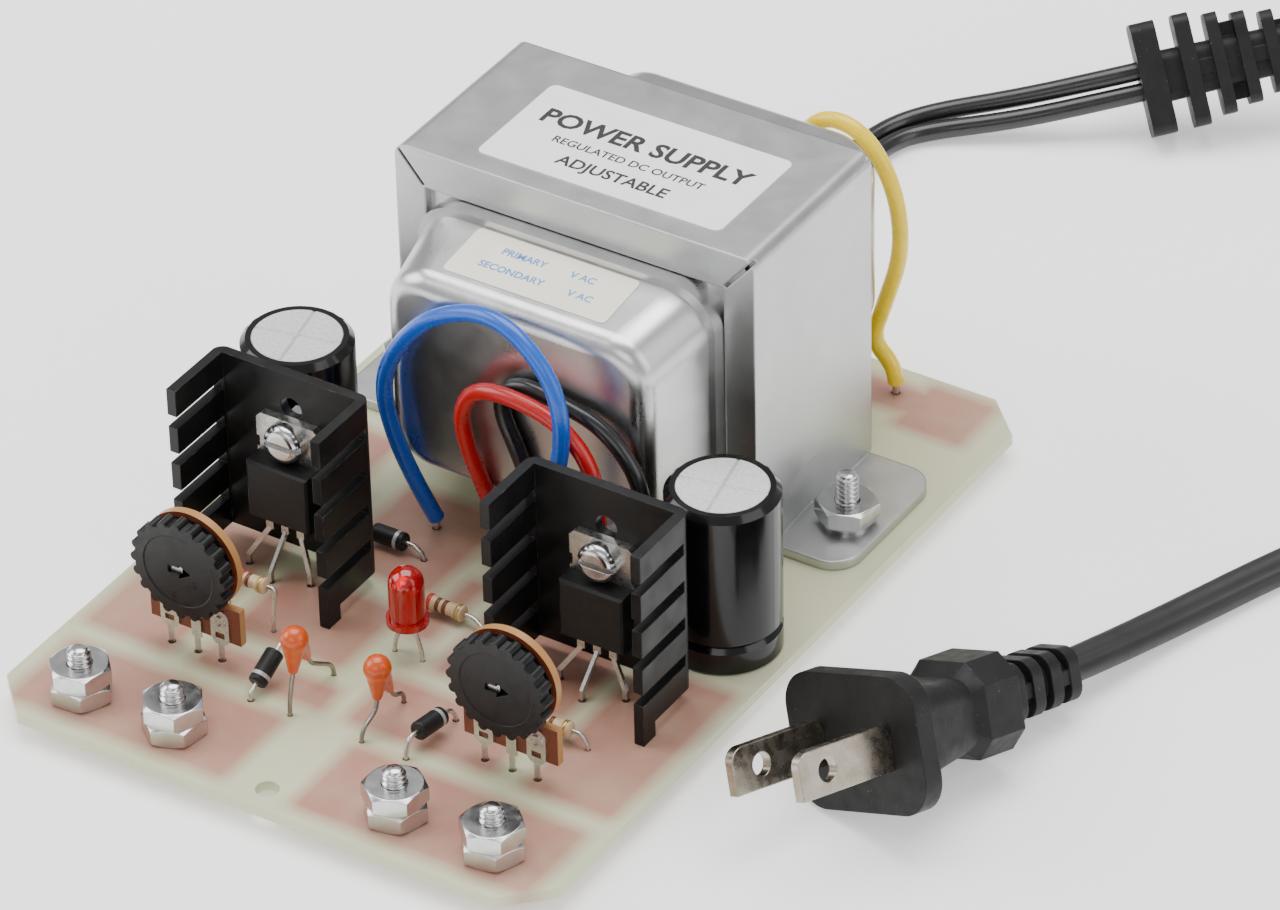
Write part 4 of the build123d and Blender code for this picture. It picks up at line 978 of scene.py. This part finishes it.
def resistor(name, start, end, colours):
    """A resistor body with four colour bands wrapped on it."""
    along = Vector(end) - Vector(start)
    steps = [0, 0.012, 0.03, 0.05, 0.10, 0.15, 0.20, 0.22, 0.25, 0.28, 0.4, 0.5]
    steps += [1 - share for share in reversed(steps[:-1])]
    profile = [(share * along.length, resistor_radius(share)) for share in steps]
    body = finished(turned(name, profile, start, along), name, resistor_coat)
    smooth_by_angle(body, 60)
    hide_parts("resistor_bodies")
    for number, (share, colour) in enumerate(zip((0.13, 0.34, 0.52, 0.86), colours)):
        inner = resistor_radius(share) - 0.1
        outer = resistor_radius(share) + 0.02
        ring = [(0.0, inner), (0.0, outer), (band_width, outer), (band_width, inner)]
        centre = Vector(start) + along * share - along.normalized() * band_width / 2
        band = turned(f"{name}_band_{number}", ring, centre, along)
        finished(band, f"{name}_band_{number}", colour)


resistor_colours = [
    (band_brown, band_red, band_brown, band_gold),
    (band_brown, band_red, band_brown, band_gold),
    (band_red, band_brown, band_brown, band_gold),
]
for number, ((start, end), colours) in enumerate(zip(resistor_bodies, resistor_colours), start=1):
    resistor(f"resistor_{number}", start, end, colours)

diode_bodies = [
    ((-12.85, -45.0, 5.8), (-12.85, -40.3, 8.1), 0.22),
    ((12.4, -43.9, 6.9), (12.9, -38.7, 6.5), 0.80),
    ((-13.35, -8.2, 5.8), (-18.55, -8.2, 5.8), 0.22),
    ((-19.5, -12.4, 5.8), (-24.7, -12.4, 5.8), 0.80),
    ((15.6, -12.9, 5.8), (20.8, -12.9, 5.8), 0.80),
    ((14.5, -8.9, 5.8), (19.7, -8.9, 5.8), 0.22),
]
for number, (start, end, share) in enumerate(diode_bodies, start=1):
    along = Vector(end) - Vector(start)
    ring = [(0.0, 1.30), (0.0, 1.375), (0.55, 1.375), (0.55, 1.30)]
    centre = Vector(start) + along * share - along.normalized() * 0.27
    band = turned(f"diode_band_{number}", ring, centre, along)
    smooth_by_angle(finished(band, f"diode_band_{number}", band_silver))

tantalums = [
    ("left", (-6.45, -44.6, 15.4), (-6.45, -45.3, 10.3), (-6.45, -41.9, 10.7)),
    ("right", (5.05, -42.0, 13.4), (5.05, -42.4, 8.5), (5.05, -39.4, 8.1)),
]
dipped = tantalum_finish()
dip_voxel = 0.16


def dipped_capacitor(name, head, buds):
    """A teardrop of dipped epoxy that runs down onto its two leads."""
    shape = bmesh.new()
    ball = Matrix.Translation(mm(*head))
    bmesh.ops.create_icosphere(shape, subdivisions=4, radius=1.95 * MM, matrix=ball)
    for bud in buds:
        toward = Vector(head) - Vector(bud)
        turn = toward.to_track_quat("Z", "Y").to_matrix().to_4x4()
        middle = Matrix.Translation(mm(*(Vector(bud) + toward * 0.5)))
        bmesh.ops.create_cone(
            shape,
            cap_ends=True,
            segments=32,
            radius1=0.62 * MM,
            radius2=1.85 * MM,
            depth=toward.length * MM,
            matrix=middle @ turn,
        )
    mesh = bpy.data.meshes.new(name)
    shape.to_mesh(mesh)
    shape.free()
    piece = finished(mesh, name, dipped)
    remesh = piece.modifiers.new("remesh", "REMESH")
    remesh.mode = "VOXEL"
    remesh.voxel_size = dip_voxel * MM
    soften = piece.modifiers.new("soften", "SMOOTH")
    soften.factor = 0.5
    soften.iterations = 8
    applied = bpy.data.meshes.new_from_object(piece.evaluated_get(bpy.context.evaluated_depsgraph_get()))
    piece.modifiers.clear()
    piece.data = applied
    for face in applied.polygons:
        face.use_smooth = True
    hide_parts("tantalum_bodies")


for side, head, front_bud, rear_bud in tantalums:
    dipped_capacitor(f"tantalum_{side}", head, (front_bud, rear_bud))

# The indicator's lead frame, inside its lens.
indicator_y = -27.4
lead_frame_z = 9.9
anvil = [(0.0, 0.35), (5.0, 0.35), (5.2, 0.7), (6.0, 1.05), (6.05, 0.85), (5.5, 0.3)]
cup_mesh = turned("indicator_cup", anvil, (-1.27 + 0.5, indicator_y, lead_frame_z), (0, 0, 1))
finished(cup_mesh, "indicator_cup", contact)
post = [(0.0, 0.35), (5.6, 0.35), (5.9, 0.25)]
post_mesh = turned("indicator_post", post, (1.27, indicator_y, lead_frame_z), (0, 0, 1))
finished(post_mesh, "indicator_post", contact)

# ---- Capacitor tops and print ----------------------------------------------------------

capacitor_places = [(-33.9, -2.7), (34.9, -2.7)]
can_top = 29.82
vent_gap = 0.22
top_radius = 6.35
shoulder = [(7.62, 29.55), (7.97, 28.9)]
bright_top = band_finish("scored_top", (0.84, 0.84, 0.83), 0.55)
gold_print = gold_ink_finish()


def vent_quarter(name, x, y, quarter):
    """One quarter of the can's top, between the two scored grooves of its vent."""
    vertices = []
    arc = 14
    for height in (can_top, can_top + 0.14):
        lean = 0.0 if height == can_top else 0.06
        corner = vent_gap + lean
        vertices.append((corner, corner, height))
        reach = math.asin(corner / top_radius)
        for step in range(arc + 1):
            angle = reach + (math.pi / 2 - 2 * reach) * step / arc
            radius = top_radius - lean
            vertices.append((radius * math.cos(angle), radius * math.sin(angle), height))
    turn = Matrix.Rotation(math.radians(12 + 90 * quarter), 3, "Z")
    placed = [mm(x, y, 0) + turn @ mm(*vertex) for vertex in vertices]
    count = arc + 2
    faces = [list(range(count, 2 * count)), list(range(count - 1, -1, -1))]
    for step in range(count):
        after = (step + 1) % count
        faces.append([step, after, count + after, count + step])
    return finished(mesh_from(name, placed, faces, smooth=False), name, bright_top)


def rim_dash(name, x, y, angle, spread):
    """A short mark of gold print round the shoulder of the sleeve."""
    vertices = []
    steps = 5
    for step in range(steps + 1):
        turn = angle + spread * (step / steps - 0.5)
        for radius, height in shoulder:
            reach = radius + 0.03
            vertices.append(mm(x + reach * math.cos(turn), y + reach * math.sin(turn), height + 0.02))
    faces = [[2 * step, 2 * step + 1, 2 * step + 3, 2 * step + 2] for step in range(steps)]
    return finished(mesh_from(name, vertices, faces), name, gold_print)


for side, (x, y) in zip(("left", "right"), capacitor_places):
    for quarter in range(4):
        vent_quarter(f"vent_quarter_{side}_{quarter}", x, y, quarter)
    for mark in range(9):
        angle = math.radians(70 + 15 * mark)
        rim_dash(f"rim_mark_{side}_{mark}", x, y, angle, math.radians(7))

# ---- Trimmer tracks, labels ---------------------------------------------------------------

track = track_finish()


def flat_arc(name, x, y, z, inner, outer, start, end, material):
    """A thin printed arc on the front face of a trimmer's base."""
    vertices = []
    steps = 48
    for depth in (0.0, -0.05):
        for step in range(steps + 1):
            angle = math.radians(start + (end - start) * step / steps)
            for radius in (inner, outer):
                vertices.append(mm(x + radius * math.cos(angle), y + depth, z + radius * math.sin(angle)))
    half = 2 * (steps + 1)
    faces = []
    for step in range(steps):
        low = 2 * step
        faces.append([low, low + 1, low + 3, low + 2])
        faces.append([half + low + 2, half + low + 3, half + low + 1, half + low])
        faces.append([low + 1, half + low + 1, half + low + 3, low + 3])
        faces.append([low, low + 2, half + low + 2, half + low])
    return finished(mesh_from(name, vertices, faces, smooth=False), name, material)


base_front_y = -41.0
wheel_z = 19.2
for side, x in (("left", -25.4), ("right", 25.4)):
    flat_arc(f"trimmer_track_{side}", x, base_front_y, wheel_z, 4.6, 6.7, -58, 238, track)

dark_ink = ink_finish("dark_ink", (0.02, 0.02, 0.02))
blue_ink = ink_finish("blue_ink", (0.10, 0.30, 0.62))


def lettering(name, words, size_mm, weight_mm, place, turn, material):
    """Generic raised print, as thick as an ink film."""
    text = bpy.data.curves.new(name, "FONT")
    text.body = words
    text.size = size_mm * MM
    text.extrude = 0.015 * MM
    text.offset = weight_mm * MM
    text.align_x = "CENTER"
    text.align_y = "CENTER"
    text.resolution_u = 3
    holder = bpy.data.objects.new(name, text)
    holder.matrix_world = Matrix.Translation(mm(*place)) @ turn.to_4x4()
    bpy.context.scene.collection.objects.link(holder)
    bpy.context.view_layer.update()
    mesh = bpy.data.meshes.new_from_object(holder.evaluated_get(bpy.context.evaluated_depsgraph_get()))
    mesh.transform(holder.matrix_world)
    bpy.data.objects.remove(holder)
    mesh.materials.clear()
    return finished(mesh, name, material)


flat = Matrix.Identity(3)
label_top = 55.03
label_x = 3.0
name_rows = [
    ("label_title", "POWER SUPPLY", 4.7, 0.13, 29.4),
    ("label_subtitle", "REGULATED DC OUTPUT", 2.1, 0.03, 25.0),
    ("label_type", "ADJUSTABLE", 3.1, 0.06, 21.0),
]
for name, words, size, weight, y in name_rows:
    lettering(name, words, size, weight, (label_x, y, label_top), flat, dark_ink)
slope = Matrix.Rotation(math.atan2(1.6, 13.2), 3, "X")
normal = slope @ Vector((0, 0, 1))
label_middle = Vector((1.1, 5.9, 46.0 + 8.1 * 1.6 / 13.2)) + normal * 0.17
rows = [("PRIMARY        V AC", 1.9), ("SECONDARY        V AC", -1.5)]
for number, (words, up) in enumerate(rows, start=1):
    place = label_middle + slope @ Vector((0, up, 0))
    lettering(f"rating_row_{number}", words, 1.75, 0.03, place, slope, blue_ink)

# ---- Studio -------------------------------------------------------------------------------

camera_data = bpy.data.cameras.new("camera")
camera_data.lens = 204.1
camera_data.sensor_width = 36.0
camera_data.clip_start = 0.05
camera_data.clip_end = 20.0
camera = bpy.data.objects.new("camera", camera_data)
azimuth = math.radians(33.0)
elevation = math.radians(35.63)
roll = math.radians(-1.33)
aim = Matrix.Rotation(azimuth, 4, "Z") @ Matrix.Rotation(math.pi / 2 - elevation, 4, "X")
camera.matrix_world = Matrix.Translation((0.45268, -0.66608, 0.59709)) @ aim @ Matrix.Rotation(roll, 4, "Z")
bpy.context.scene.collection.objects.link(camera)
bpy.context.scene.camera = camera

floor_corners = [(-4, -4, 0), (4, -4, 0), (4, 4, 0), (-4, 4, 0)]
floor_mesh = mesh_from("floor", floor_corners, [[0, 1, 2, 3]], smooth=False)
floor = bpy.data.objects.new("floor", floor_mesh)
floor.data.materials.append(floor_finish())
bpy.context.scene.collection.objects.link(floor)


def area_light(name, place, target, size, energy):
    """A soft square light aimed at a point."""
    data = bpy.data.lights.new(name, "AREA")
    data.shape = "RECTANGLE"
    data.size, data.size_y = size
    data.energy = energy
    light = bpy.data.objects.new(name, data)
    light.location = place
    light.rotation_euler = (Vector(target) - Vector(place)).to_track_quat("-Z", "Y").to_euler()
    bpy.context.scene.collection.objects.link(light)


middle = (0.0, 0.0, 0.02)
area_light("overhead_softbox", (-0.15, 0.25, 1.15), middle, (1.1, 0.9), 17)
area_light("left_softbox", (-1.0, -0.45, 0.7), middle, (0.8, 0.8), 9)
area_light("right_softbox", (1.0, 0.1, 0.6), middle, (0.7, 0.9), 4)
area_light("front_fill", (0.25, -1.2, 0.8), middle, (0.9, 0.5), 3)

world = bpy.data.worlds.new("studio")
world.use_nodes = True
world.node_tree.nodes["Background"].inputs["Color"].default_value = (0.98, 0.98, 1.0, 1.0)
world.node_tree.nodes["Background"].inputs["Strength"].default_value = 0.55
bpy.context.scene.world = world
